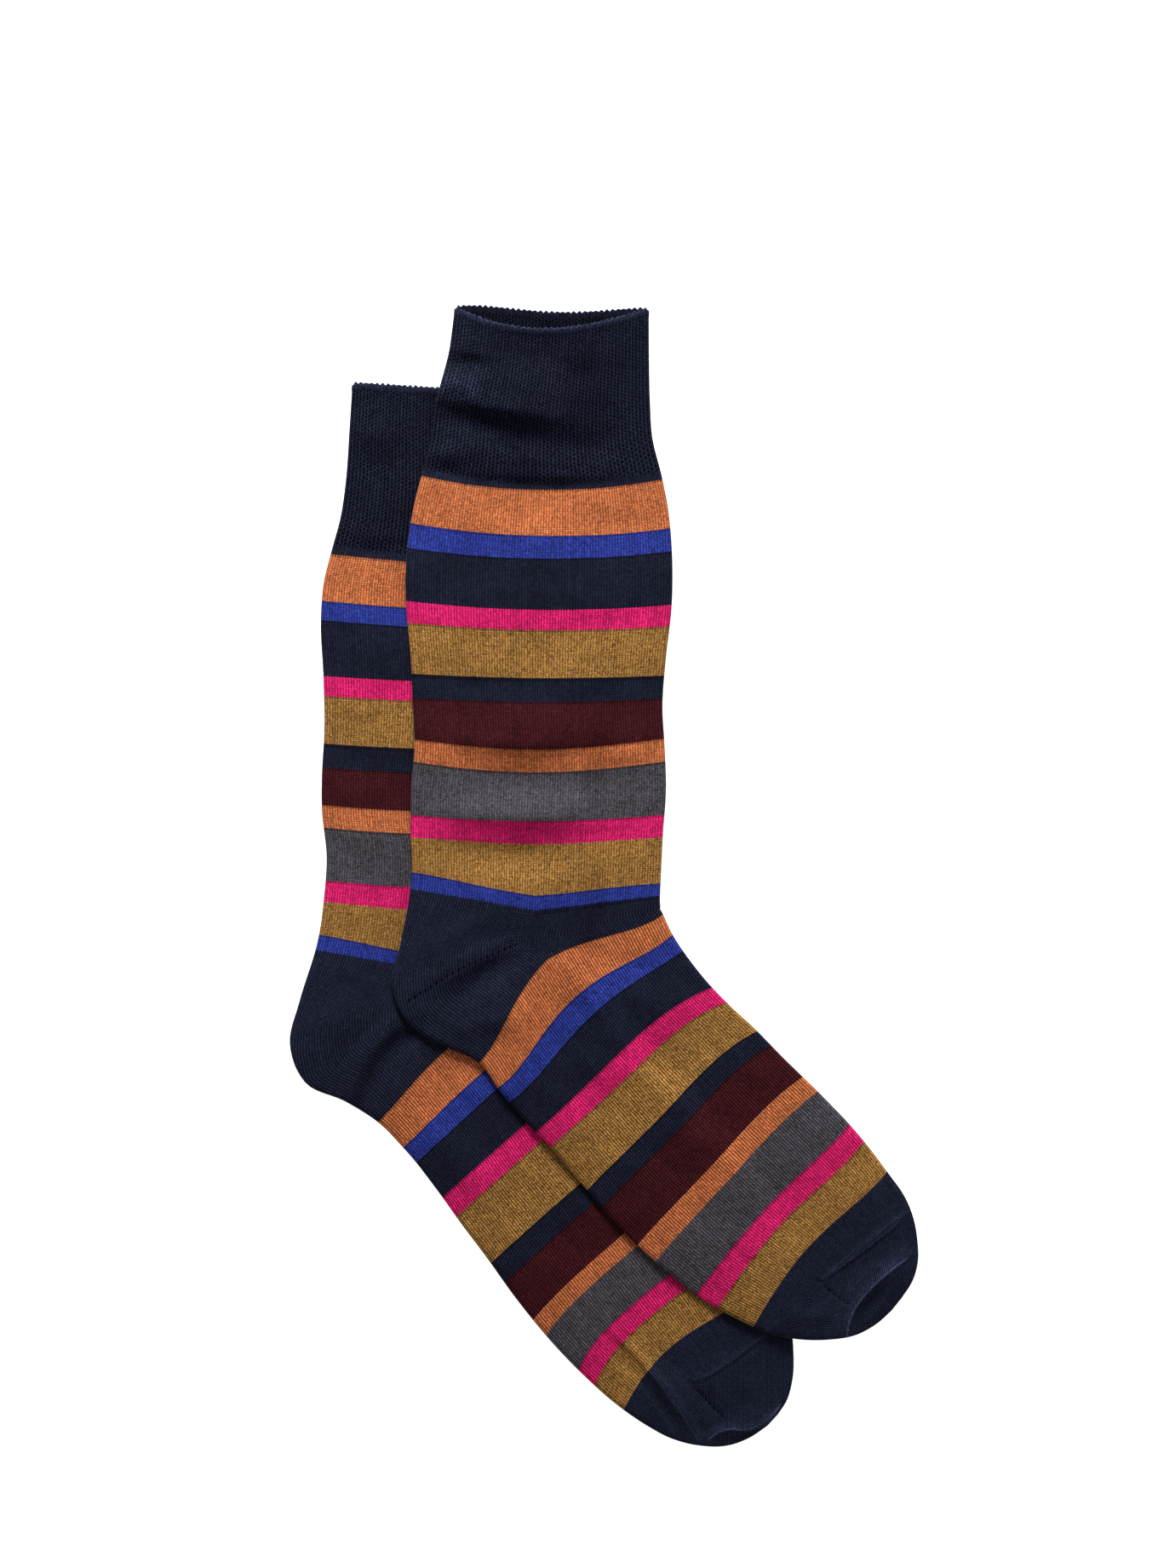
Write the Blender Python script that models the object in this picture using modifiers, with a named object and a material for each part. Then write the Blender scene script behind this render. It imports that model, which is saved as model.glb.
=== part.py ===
"""A pair of long knitted socks laid flat, one lying across the other.

Each sock is one knitted tube, from the rim of its cuff through leg, heel and foot to its closed toe.
The tube lies flattened: two layers of cloth with a little air between them, folded over at both edges.
Its surface is a loft through the course lines of the knitting, and a Solidify modifier makes it a wall.

The frame: X and Y in the surface that the socks lie on, +Y towards the cuffs, +Z up. Sizes are in
millimetres and MM turns them into Blender's metres.
"""

from collections import namedtuple

import bpy
import numpy as np

MM = 0.001

WALL = 1.1  # thickness of the knitted cloth
LAY = 3.4  # two walls and the air between them
CLEAR = 0.6  # air between the lower sock and the one that lies on it
DRAPE_START = 2.5  # how far past the lower sock's outline the upper sock begins to come down
DRAPE = 13.0  # width of the slope on which it comes down to the surface

RINGS_PER_SECTION = 3  # rings of the loft from one section to the next
TOP_STRIPS = 12  # strips across a layer, between its two folded edges
EDGE_STEPS = 2  # facets from the middle of a folded edge up to the flat of a layer

# A section is one course line of the knitting: the row of stitches from the back edge of the flattened
# tube to its front edge. The three bows are how far that line swings towards the toe from the straight
# line between the edges, a quarter, half and three quarters of the way across.
Section = namedtuple("Section", "name back_x back_y front_x front_y bow_back bow_middle bow_front")

UPPER_SECTIONS = [
    Section("rim", -59.7, 227.6, 17.9, 226.9, 7.0, 8.5, 5.8),
    Section("cuff, upper", -62.0, 210.0, 18.0, 209.0, 6.0, 7.5, 5.3),
    Section("cuff, lower", -67.6, 187.0, 18.4, 189.5, 5.0, 6.6, 4.6),
    Section("cuff end", -69.2, 174.6, 19.3, 175.8, 4.5, 5.8, 4.2),
    Section("calf 1", -72.6, 161.0, 23.2, 159.8, 4.0, 5.1, 3.8),
    Section("calf 2", -75.3, 150.8, 25.4, 148.6, 3.5, 4.6, 3.4),
    Section("calf 3", -78.6, 130.7, 27.2, 129.4, 2.9, 3.8, 2.8),
    Section("calf 4", -79.1, 110.3, 27.1, 108.8, 2.2, 2.9, 2.1),
    Section("shin 1", -77.2, 86.9, 24.6, 86.0, 1.2, 1.6, 1.2),
    Section("shin 2", -76.2, 67.5, 23.4, 67.4, 1.2, 1.8, 1.2),
    Section("shin 3", -75.6, 52.9, 24.2, 53.2, 3.2, 4.4, 3.0),
    Section("shin 4", -77.0, 35.2, 24.8, 34.9, 2.4, 3.2, 2.3),
    Section("shin 5", -77.2, 17.2, 23.6, 17.4, 1.6, 2.4, 1.6),
    Section("heel top", -77.2, -4.6, 22.4, -7.3, 3.4, 7.1, 3.4),
    Section("heel 1", -81.2, -26.4, 22.4, -9.0, 1.5, 2.4, 1.2),
    Section("heel 2", -84.8, -42.8, 22.4, -10.4, -1.5, -3.6, -1.6),
    Section("heel 3", -78.6, -58.0, 22.5, -11.7, -4.2, -9.0, -4.2),
    Section("heel 4", -63.1, -67.8, 22.6, -13.1, -6.6, -12.6, -6.2),
    Section("heel end", -50.5, -73.6, 23.5, -14.6, -8.6, -15.2, -7.5),
    Section("instep 1", -42.3, -84.5, 27.6, -23.3, -2.9, -6.6, -3.8),
    Section("instep 2", -30.4, -98.4, 40.1, -40.6, -1.6, -3.9, -4.2),
    Section("arch", -19.6, -110.0, 51.0, -52.0, -0.9, -2.4, -3.7),
    Section("foot 1", -8.0, -123.6, 60.3, -60.6, -1.0, -2.0, -3.2),
    Section("foot 2", 3.9, -137.5, 71.3, -71.9, -1.0, -1.6, -2.5),
    Section("foot 3", 21.5, -154.4, 86.4, -86.6, -1.1, -1.6, -1.8),
    Section("foot 4", 41.7, -170.0, 101.7, -102.9, -2.3, -2.7, -0.8),
    Section("toe cap", 59.3, -179.4, 113.0, -117.5, -3.4, -4.0, -1.7),
    Section("toe 1", 67.0, -182.6, 119.8, -127.0, -2.8, -3.4, -1.4),
    Section("toe 2", 77.6, -184.4, 123.6, -136.0, -1.8, -2.2, -0.9),
    Section("toe 3", 89.6, -184.9, 125.3, -145.6, -0.8, -1.0, -0.4),
    Section("toe 4", 100.2, -183.2, 125.4, -154.0, 0.0, 0.0, 0.0),
    Section("toe 5", 108.6, -178.8, 123.2, -161.6, 0.0, 0.0, 0.0),
    Section("tip", 114.8, -173.4, 119.0, -168.2, 0.0, 0.0, 0.0),
]

LOWER_SECTIONS = [
    Section("rim", -100.6, 197.0, -23.3, 193.0, 0.2, 0.4, 0.2),
    Section("cuff, upper", -101.7, 179.7, -22.4, 176.0, 1.0, 1.4, 1.0),
    Section("cuff, lower", -103.4, 156.6, -18.4, 152.6, 1.4, 2.0, 1.4),
    Section("cuff end", -105.2, 144.3, -16.8, 139.8, 1.4, 2.0, 1.4),
    Section("calf 1", -109.0, 130.0, -12.8, 125.2, 1.3, 1.8, 1.3),
    Section("calf 2", -112.0, 118.0, -10.4, 113.4, 1.2, 1.6, 1.2),
    Section("calf 3", -113.2, 102.0, -7.6, 97.6, 1.0, 1.4, 1.0),
    Section("calf 4", -112.2, 80.4, -6.8, 77.0, 0.8, 1.0, 0.8),
    Section("shin 1", -111.8, 59.0, -10.2, 56.0, 0.8, 1.0, 0.8),
    Section("shin 2", -112.8, 40.0, -12.6, 37.0, 1.0, 1.2, 1.0),
    Section("shin 3", -112.8, 27.0, -13.0, 24.0, 1.2, 1.4, 1.0),
    Section("shin 4", -110.9, 8.4, -11.2, 5.6, 1.2, 1.5, 1.0),
    Section("shin 5", -112.0, -8.6, -12.4, -12.0, 1.4, 2.0, 1.2),
    Section("heel top", -115.3, -29.0, -15.8, -33.2, 3.2, 6.6, 3.2),
    Section("heel 1", -121.9, -50.2, -15.7, -35.0, 1.0, 2.0, 1.0),
    Section("heel 2", -125.6, -66.6, -15.4, -36.4, -1.4, -3.6, -1.6),
    Section("heel 3", -119.6, -82.0, -15.1, -37.8, -3.8, -8.2, -4.0),
    Section("heel 4", -103.3, -89.8, -14.7, -39.2, -4.8, -9.0, -4.8),
    Section("heel end", -91.0, -97.5, -14.1, -41.0, -5.0, -7.8, -4.5),
    Section("instep 1", -80.0, -108.5, -10.4, -49.6, -1.5, -2.4, -1.6),
    Section("instep 2", -67.7, -123.8, 1.9, -66.1, -1.0, -1.6, -1.5),
    Section("arch", -57.2, -138.4, 12.1, -80.1, -0.8, -1.4, -1.6),
    Section("foot 1", -46.4, -152.8, 25.0, -93.3, -1.0, -1.6, -1.6),
    Section("foot 2", -35.2, -168.4, 36.9, -106.9, -1.4, -1.8, -1.6),
    Section("foot 3", -22.4, -184.2, 47.8, -119.4, -2.6, -2.0, -1.4),
    Section("foot 4", -6.4, -200.8, 58.7, -137.2, -4.6, -3.2, -1.5),
    Section("toe cap", 7.6, -212.8, 68.2, -156.2, -5.2, -4.4, 0.2),
    Section("toe 1", 17.4, -219.4, 72.0, -167.4, -4.0, -3.4, 0.2),
    Section("toe 2", 27.0, -224.4, 74.6, -178.6, -2.6, -2.2, 0.0),
    Section("toe 3", 38.0, -227.2, 75.7, -189.4, -1.2, -1.0, 0.0),
    Section("toe 4", 48.8, -227.3, 75.5, -199.6, 0.0, 0.0, 0.0),
    Section("toe 5", 58.2, -224.0, 73.2, -208.8, 0.0, 0.0, 0.0),
    Section("tip", 65.4, -219.2, 69.6, -214.6, 0.0, 0.0, 0.0),
]

# A fold is a soft ridge (height above 0) or trough (below 0) of a sock's top layer, along the line from
# its start by its bend to its end. It dies away to nothing at half_width from that line, and is lower
# towards both ends.
Fold = namedtuple("Fold", "name start_x start_y bend_x bend_y end_x end_y half_width height")

UPPER_FOLDS = [
    Fold("cuff bulge", -57.0, 197.5, -48.0, 196.0, -34.0, 192.0, 12.0, 1.6),
    Fold("cuff trough", -62.0, 188.5, -32.0, 181.5, 8.0, 177.0, 9.0, -0.9),
    Fold("below the cuff", -52.0, 171.5, -26.0, 168.0, 4.0, 168.0, 10.0, 1.0),
    Fold("gather at the calf", -58.0, 163.0, -28.0, 158.0, 12.0, 158.0, 7.0, -0.8),
    Fold("calf swell", -46.0, 124.0, -24.0, 120.0, -4.0, 121.0, 26.0, 1.2),
    Fold("shin wave, high", -66.0, 67.0, -28.0, 63.5, 12.0, 65.0, 15.0, 1.3),
    Fold("shin trough", -70.0, 48.0, -30.0, 45.5, 14.0, 47.0, 9.0, -0.9),
    Fold("shin wave, low", -66.0, 30.0, -30.0, 28.5, 10.0, 31.0, 12.0, 1.4),
    Fold("ankle trough", -66.0, 14.0, -38.0, 11.0, -12.0, 12.0, 8.0, -0.8),
    Fold("ankle swell", -54.0, -13.0, -30.0, -14.0, -4.0, -11.0, 12.0, 1.3),
    Fold("heel gore", -31.0, -25.0, -57.0, -36.5, -77.0, -50.0, 7.0, -0.9),
    Fold("heel pocket", -50.0, -49.0, -40.0, -54.0, -28.0, -61.0, 13.0, 1.6),
    Fold("instep ridge", -20.0, -33.0, 4.0, -46.0, 32.0, -56.0, 14.0, 1.6),
    Fold("sole hollow", -18.0, -80.0, 10.0, -104.0, 38.0, -128.0, 13.0, -0.5),
    Fold("foot swell", 34.0, -94.0, 50.0, -108.0, 68.0, -124.0, 20.0, 1.3),
    Fold("toe seam ridge", 84.0, -161.0, 102.0, -146.0, 121.0, -133.5, 7.0, 1.2),
    Fold("toe pinch", 97.5, -181.0, 99.0, -169.0, 121.0, -153.0, 6.5, 2.4),
    Fold("toe hollow", 105.0, -175.0, 111.0, -166.5, 118.0, -160.0, 6.0, -0.9),
]

LOWER_FOLDS = [
    Fold("calf edge swell", -99.0, 114.0, -96.0, 88.0, -96.0, 58.0, 12.0, 1.0),
    Fold("shin trough", -108.0, 47.0, -98.0, 45.0, -84.0, 43.0, 9.0, -0.7),
    Fold("shin swell", -104.0, 22.0, -96.0, 20.0, -86.0, 18.0, 13.0, 1.0),
    Fold("heel swell", -112.0, -50.0, -106.0, -56.0, -98.0, -64.0, 15.0, 1.6),
    Fold("heel gore", -78.0, -58.0, -90.0, -69.0, -99.5, -87.0, 8.5, -0.9),
    Fold("sole swell", -74.0, -98.0, -60.0, -112.0, -44.0, -132.0, 12.0, 1.0),
    Fold("ball trough", 2.0, -187.0, 9.0, -192.0, 18.0, -198.0, 6.0, -0.8),
    Fold("toe seam ridge", 31.0, -200.5, 45.0, -197.0, 60.0, -188.5, 6.5, 1.1),
    Fold("toe crease ridge", 18.0, -199.5, 29.0, -209.0, 37.0, -223.0, 6.5, 1.7),
    Fold("toe tip ridge", 44.0, -222.0, 54.0, -218.5, 67.0, -214.0, 6.0, 1.5),
]

MOUTH_LIFT = 7.2  # how far the upper sock's rim stands open in its middle, beyond LAY
MOUTH_REACH = 74.0  # how far down the cuff the opened mouth closes again
MOUTH_SHIFT = 6.2  # how far the cloth under the open mouth reaches past the cloth over it

NAVY = (0.014, 0.016, 0.032, 1.0)  # most of the cuff, heel and toe
KNIT_ROUGHNESS = 0.9


def smooth_rows(rows, steps):
    """The rows of a table joined by a smooth curve, `steps` rows for each gap between two of them."""
    gaps = np.linalg.norm(np.diff(rows[:, :4], axis=0), axis=1)
    along = np.concatenate([[0.0], np.cumsum(gaps)])
    slopes = np.gradient(rows, along, axis=0)
    filled = []
    for i, gap in enumerate(gaps):
        for t in np.arange(steps) / steps:
            start = (1 + 2 * t) * (1 - t) ** 2 * rows[i] + t * (1 - t) ** 2 * gap * slopes[i]
            end = t * t * (3 - 2 * t) * rows[i + 1] + t * t * (t - 1) * gap * slopes[i + 1]
            filled.append(start + end)
    filled.append(rows[-1])
    return np.array(filled)


def bow_across(share, quarter, half, three_quarters):
    """The curve of degree four through 0 at both edges and the three bows between them."""
    knots = np.array([0.0, 0.25, 0.5, 0.75, 1.0])
    total = np.zeros_like(share)
    for i, bow in ((1, quarter), (2, half), (3, three_quarters)):
        others = np.delete(knots, i)
        term = np.prod([(share - k) / (knots[i] - k) for k in others], axis=0)
        total += bow * term
    return total


def layer_profile(width):
    """Across one layer, edge to edge: the distance from the back edge, and how far up (0 to 1) from the
    middle of the folded edge to the flat of the layer each point lies."""
    radius = min(LAY / 2, width / 2.4)
    angles = np.linspace(0, np.pi / 2, EDGE_STEPS + 1)
    edge = radius * (1 - np.cos(angles))
    flat = np.linspace(radius, width - radius, TOP_STRIPS + 1)[1:-1]
    distance = np.concatenate([edge, flat, width - edge[::-1]])
    rise = np.concatenate([np.sin(angles), np.ones(len(flat)), np.sin(angles[::-1])])
    return distance, rise


def nearest_on_path(path, x, y):
    """How far each point (x, y) is from a path of straight runs, and how far along it (0 to 1) it lies."""
    runs = np.diff(path, axis=0)
    lengths = np.hypot(*runs.T)
    starts = np.concatenate([[0.0], np.cumsum(lengths)])
    away = np.full(x.shape, np.inf)
    along = np.zeros(x.shape)
    for (x0, y0), (run_x, run_y), length, start in zip(path, runs, lengths, starts):
        share = np.clip(((x - x0) * run_x + (y - y0) * run_y) / length**2, 0, 1)
        distance = np.hypot(x - x0 - share * run_x, y - y0 - share * run_y)
        nearer = distance < away
        away = np.where(nearer, distance, away)
        along = np.where(nearer, (start + share * length) / starts[-1], along)
    return away, along


def fold_height(folds, x, y):
    """The height that a sock's folds add to its top layer at the points (x, y)."""
    total = np.zeros_like(x)
    for fold in folds:
        path = np.array([fold[1:3], fold[3:5], fold[5:7]])
        away, along = nearest_on_path(path, x, y)
        swell = np.sin(np.pi * (0.12 + 0.76 * along))
        total += fold.height * swell * np.clip(1 - (away / fold.half_width) ** 2, 0, None) ** 2
    return total


def outline(sections):
    """The flattened sock's outline as a closed ring of points."""
    rows = smooth_rows(np.array([section[1:] for section in sections]), RINGS_PER_SECTION)
    return np.concatenate([rows[:, 0:2], rows[::-1, 2:4]])


def distance_outside(ring, x, y):
    """How far each point lies outside a closed outline, 0 inside it."""
    inside = np.zeros(x.shape, bool)
    for (x0, y0), (x1, y1) in zip(ring, np.roll(ring, -1, axis=0)):
        if y0 != y1:
            crosses = (y0 > y) != (y1 > y)
            inside ^= crosses & (x < x0 + (y - y0) / (y1 - y0) * (x1 - x0))
    away, _ = nearest_on_path(np.concatenate([ring, ring[:1]]), x, y)
    return np.where(inside, 0.0, away)


def flat_surface(x, y):
    return np.zeros_like(x)


def over_lower_sock(x, y):
    """The height at which the upper sock lies: on the lower sock, then down a slope to the surface."""
    outside = distance_outside(outline(LOWER_SECTIONS), x, y)
    slope = np.clip((outside - DRAPE_START) / DRAPE, 0, 1)
    share = 1 - slope * slope * (3 - 2 * slope)
    return share * (LAY + CLEAR + fold_height(LOWER_FOLDS, x, y))


def tube_rings(sections, folds, ground, mouth_lift, mouth_shift):
    """The rings of the tube's outer face: from the back edge over the top layer to the front edge, and
    back under the bottom layer."""
    rows = smooth_rows(np.array([section[1:] for section in sections]), RINGS_PER_SECTION)
    middles = (rows[:, 0:2] + rows[:, 2:4]) / 2
    steps = np.linalg.norm(np.diff(middles, axis=0), axis=1)
    from_rim = np.concatenate([[0.0], np.cumsum(steps)])
    rings = []
    for row, depth in zip(rows, from_rim):
        back, front = row[0:2], row[2:4]
        width = np.linalg.norm(front - back)
        across = (front - back) / width
        to_toe = np.array([across[1], -across[0]])
        distance, rise = layer_profile(width)
        share = distance / width
        bow = bow_across(share, *row[4:7])
        top = back + np.outer(distance, across) + np.outer(bow, to_toe)
        open_share = np.clip(1 - depth / MOUTH_REACH, 0, 1) ** 1.5
        gape = open_share * np.sin(np.pi * share) ** 1.5
        under = top - np.outer(mouth_shift * gape, to_toe)
        height = LAY + mouth_lift * gape + fold_height(folds, *top.T)
        top_z = ground(*top.T) + LAY / 2 + (height - LAY / 2) * rise
        under_z = ground(*under.T) + LAY / 2 * (1 - rise)
        upper_points = np.column_stack([top, top_z])
        under_points = np.column_stack([under, under_z])[-2:0:-1]
        rings.append(np.concatenate([upper_points, under_points]))
    return rings


def tube_mesh(name, rings):
    """The open tube through the rings, closed at its last ring, the toe."""
    count = len(rings[0])
    points = np.concatenate([*rings, rings[-1].mean(axis=0)[None]]) * MM
    faces = []
    for ring in range(len(rings) - 1):
        for i in range(count):
            a = ring * count + i
            b = ring * count + (i + 1) % count
            faces.append((a, a + count, b + count, b))
    last = (len(rings) - 1) * count
    tip = len(rings) * count
    for i in range(count):
        faces.append((last + i, tip, last + (i + 1) % count))
    mesh = bpy.data.meshes.new(name)
    mesh.from_pydata(points.tolist(), [], faces)
    mesh.validate()
    return mesh


def knit_material(name):
    material = bpy.data.materials.new(name)
    material.use_nodes = True
    shader = material.node_tree.nodes["Principled BSDF"]
    shader.inputs["Base Color"].default_value = NAVY
    shader.inputs["Roughness"].default_value = KNIT_ROUGHNESS
    shader.inputs["Metallic"].default_value = 0.0
    return material


def add_sock(name, collection, rings):
    """One sock: its lofted outer face and the modifier that makes it a wall, open at the rim."""
    mesh = tube_mesh(name, rings)
    mesh.materials.append(knit_material(f"{name}_knit"))
    mesh.shade_smooth()
    sock = bpy.data.objects.new(name, mesh)
    collection.objects.link(sock)
    wall = sock.modifiers.new("knitted wall", "SOLIDIFY")
    wall.thickness = WALL * MM
    wall.offset = -1
    wall.use_even_offset = True
    wall.use_rim = True
    return sock


def main():
    for old in list(bpy.data.objects):
        bpy.data.objects.remove(old)
    collection = bpy.data.collections.new("pair of socks")
    bpy.context.scene.collection.children.link(collection)
    add_sock("lower_sock", collection, tube_rings(LOWER_SECTIONS, LOWER_FOLDS, flat_surface, 0.0, 0.0))
    upper = tube_rings(UPPER_SECTIONS, UPPER_FOLDS, over_lower_sock, MOUTH_LIFT, MOUTH_SHIFT)
    add_sock("upper_sock", collection, upper)


main()
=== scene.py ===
# %% [markdown]
# # A pair of long knitted socks, laid flat
#
# Two calf socks lie on a pale surface, one across the other. Each is a single knitted tube: a ribbed cuff,
# a striped leg, a heel pocket, a striped foot and a closed toe. This notebook dresses the plain solids of
# the pair as real cloth: thin rolled walls, soft creases, gore lines and seams, and thousands of small
# V-shaped stitches.
#
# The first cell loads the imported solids. They are a fixed frame: nothing in it is moved, and every piece
# made below stands for one of its nodes.

import math
from collections import namedtuple

import bpy
import numpy as np
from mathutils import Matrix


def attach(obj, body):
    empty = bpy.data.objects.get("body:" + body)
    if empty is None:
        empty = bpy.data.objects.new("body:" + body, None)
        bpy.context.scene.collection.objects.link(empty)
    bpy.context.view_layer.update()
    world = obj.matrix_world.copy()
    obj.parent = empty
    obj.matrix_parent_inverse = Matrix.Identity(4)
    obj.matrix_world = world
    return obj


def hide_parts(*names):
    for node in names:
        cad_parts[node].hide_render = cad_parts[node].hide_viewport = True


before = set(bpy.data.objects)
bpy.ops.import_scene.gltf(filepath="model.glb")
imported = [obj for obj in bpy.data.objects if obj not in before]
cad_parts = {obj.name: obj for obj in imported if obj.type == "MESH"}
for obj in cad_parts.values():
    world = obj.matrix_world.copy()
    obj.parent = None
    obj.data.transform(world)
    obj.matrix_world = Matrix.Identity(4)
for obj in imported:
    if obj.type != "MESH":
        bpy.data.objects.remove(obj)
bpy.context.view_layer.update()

MM = 0.001

# %% [markdown]
# ## The camera
#
# A flat lay is seen from straight above, on a long lens, so that the cloth near the edges of the picture
# isn't seen from the side. A camera that looks down its own -Z needs no rotation for that. What it must
# cover is the picture's height, and for a tall picture Blender fits the sensor's width to that height.

# %% Camera
VIEW_MIDDLE = (-6.6, 37.1)  # mm, the point under the middle of the picture
VIEW_HEIGHT = 625.9  # mm of the surface that the picture's height covers
CLOTH_LEVEL = 3.5  # mm, the height at which that is measured
LENS = 135.0  # mm
SENSOR = 36.0  # mm

camera_data = bpy.data.cameras.new("overhead camera")
camera_data.lens = LENS
camera_data.sensor_width = SENSOR
camera = bpy.data.objects.new("overhead camera", camera_data)
camera_height = VIEW_HEIGHT * LENS / SENSOR + CLOTH_LEVEL
camera.location = (VIEW_MIDDLE[0] * MM, VIEW_MIDDLE[1] * MM, camera_height * MM)
bpy.context.scene.collection.objects.link(camera)
bpy.context.scene.camera = camera
print("the camera hangs", round(camera_height), "mm above the surface")

# %% [markdown]
# ## Course lines
#
# A knitted tube is a spiral of courses, the rows of stitches. Each row of the table is one course line of
# the flattened socks, first of the upper one and after the bar of the lower one: the X and Y of its back
# end (heel side) and of its front end, then three bows. The bows say how far the line swings towards the
# toe, a quarter, half and three quarters of the way across. Lofting through course lines is the honest way
# to build a sock, since the stripes, the heel and the toe all follow them. All lengths are in millimetres.

# %% Course lines
Section = namedtuple("Section", "name back_x back_y front_x front_y bow_back bow_middle bow_front")
COURSE_LINES = """
rim: -59.7 227.6 17.9 226.9 7 8.5 5.8 | -100.6 197 -23.3 193 0.2 0.4 0.2
cuff, upper: -62 210 18 209 6 7.5 5.3 | -101.7 179.7 -22.4 176 1 1.4 1
cuff, lower: -67.6 187 18.4 189.5 5 6.6 4.6 | -103.4 156.6 -18.4 152.6 1.4 2 1.4
cuff end: -69.2 174.6 19.3 175.8 4.5 5.8 4.2 | -105.2 144.3 -16.8 139.8 1.4 2 1.4
calf 1: -72.6 161 23.2 159.8 4 5.1 3.8 | -109 130 -12.8 125.2 1.3 1.8 1.3
calf 2: -75.3 150.8 25.4 148.6 3.5 4.6 3.4 | -112 118 -10.4 113.4 1.2 1.6 1.2
calf 3: -78.6 130.7 27.2 129.4 2.9 3.8 2.8 | -113.2 102 -7.6 97.6 1 1.4 1
calf 4: -79.1 110.3 27.1 108.8 2.2 2.9 2.1 | -112.2 80.4 -6.8 77 0.8 1 0.8
shin 1: -77.2 86.9 24.6 86 1.2 1.6 1.2 | -111.8 59 -10.2 56 0.8 1 0.8
shin 2: -76.2 67.5 23.4 67.4 1.2 1.8 1.2 | -112.8 40 -12.6 37 1 1.2 1
shin 3: -75.6 52.9 24.2 53.2 3.2 4.4 3 | -112.8 27 -13 24 1.2 1.4 1
shin 4: -77 35.2 24.8 34.9 2.4 3.2 2.3 | -110.9 8.4 -11.2 5.6 1.2 1.5 1
shin 5: -77.2 17.2 23.6 17.4 1.6 2.4 1.6 | -112 -8.6 -12.4 -12 1.4 2 1.2
heel top: -77.2 -4.6 22.4 -7.3 3.4 7.1 3.4 | -115.3 -29 -15.8 -33.2 3.2 6.6 3.2
heel 1: -81.2 -26.4 22.4 -8.9 -1.8 0.3 1 | -121.9 -50.2 -15.7 -34.9 -1.4 0.2 0.9
heel 2: -84.8 -42.8 22.4 -10.3 -5.3 -4.3 -1.8 | -125.6 -66.6 -15.4 -36.3 -4.7 -4.4 -1.8
gore: -82.2 -52 22.5 -11.3 -5.4 -6.4 -3.6 | -123.1 -76.4 -15.2 -37.3 -5.1 -6.7 -3.6
heel 3: -78.6 -58 22.5 -12 -7.1 -8.6 -4.4 | -119.6 -82 -15.1 -38.1 -6.2 -8 -4.1
heel 4: -63.1 -67.8 22.6 -13.2 -9.4 -12.9 -6.3 | -103.3 -89.8 -14.7 -39.3 -7.4 -10.6 -5.2
heel end: -50.5 -73.6 23.5 -14.6 -8.6 -15.2 -7.5 | -91 -97.5 -14.1 -41 -5 -7.8 -4.5
instep 1: -42.3 -84.5 27.6 -23.3 -2.9 -6.6 -3.8 | -80 -108.5 -10.4 -49.6 -1.5 -2.4 -1.6
instep 2: -30.4 -98.4 40.1 -40.6 -1.6 -3.9 -4.2 | -67.7 -123.8 1.9 -66.1 -1 -1.6 -1.5
arch: -19.6 -110 51 -52 -0.9 -2.4 -3.7 | -57.2 -138.4 12.1 -80.1 -0.8 -1.4 -1.6
foot 1: -8 -123.6 60.3 -60.6 -1 -2 -3.2 | -46.4 -152.8 25 -93.3 -1 -1.6 -1.6
foot 2: 3.9 -137.5 71.3 -71.9 -1 -1.6 -2.5 | -35.2 -168.4 36.9 -106.9 -1.4 -1.8 -1.6
foot 3: 21.5 -154.4 86.4 -86.6 -1.1 -1.6 -1.8 | -22.4 -184.2 47.8 -119.4 -2.6 -2 -1.4
foot 4: 41.7 -170 101.7 -102.9 -2.3 -2.7 -0.8 | -6.4 -200.8 58.7 -137.2 -4.6 -3.2 -1.5
toe cap: 59.3 -179.4 113 -117.5 -3.4 -4 -1.7 | 7.6 -212.8 68.2 -156.2 -5.2 -4.4 0.2
toe 1: 67 -182.6 119.8 -127 -2.8 -3.4 -1.4 | 17.4 -219.4 72 -167.4 -4 -3.4 0.2
toe 2: 77.6 -184.4 123.6 -136 -1.8 -2.2 -0.9 | 27 -224.4 74.6 -178.6 -2.6 -2.2 0
toe 3: 89.6 -184.9 125.3 -145.6 -0.8 -1 -0.4 | 38 -227.2 75.7 -189.4 -1.2 -1 0
toe 4: 100.2 -183.2 125.4 -154 0 0 0 | 48.8 -227.3 75.5 -199.6 0 0 0
toe 5: 108.6 -178.8 123.2 -161.6 0 0 0 | 58.2 -224 73.2 -208.8 0 0 0
tip: 114.8 -173.4 119 -168.2 0 0 0 | 65.4 -219.2 69.6 -214.6 0 0 0
"""

UPPER_SECTIONS, LOWER_SECTIONS = [], []
for line in COURSE_LINES.strip().splitlines():
    name, numbers = line.split(":")
    for table, half in zip((UPPER_SECTIONS, LOWER_SECTIONS), numbers.split("|")):
        table.append(Section(name, *map(float, half.split())))
AT = {section.name: place for place, section in enumerate(UPPER_SECTIONS)}
print("each sock is drawn by", len(AT), "course lines")

# %% [markdown]
# ## From course lines to rings
#
# Cloth needs far more rings than the table has rows. A cubic curve through the rows gives them, without
# corners. Each gap between two rows is cut into steps of about the same length, so a ring still falls on
# every row of the table. That matters later, when the heel pocket and the toe start on a row of their own.
# The first gap, at the rim, gets steps that grow from very fine, for the little scallops of the edge.

# %% Rings through the course lines
RING_STEP = 2.0  # mm between rings
TOE_RING_STEP = 0.9  # mm, finer where the toe is creased
BACK_STRETCH = 0.6  # round the heel, a gap counts at least as this share of its length at the back edge
RIM_STEPS = 18  # rings in the first gap
RIM_CROWDING = 1.6  # how strongly they crowd towards the rim
GORE_CROWDING = 0.8  # mm to the extra ring on each side of the heel's gore line


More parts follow.
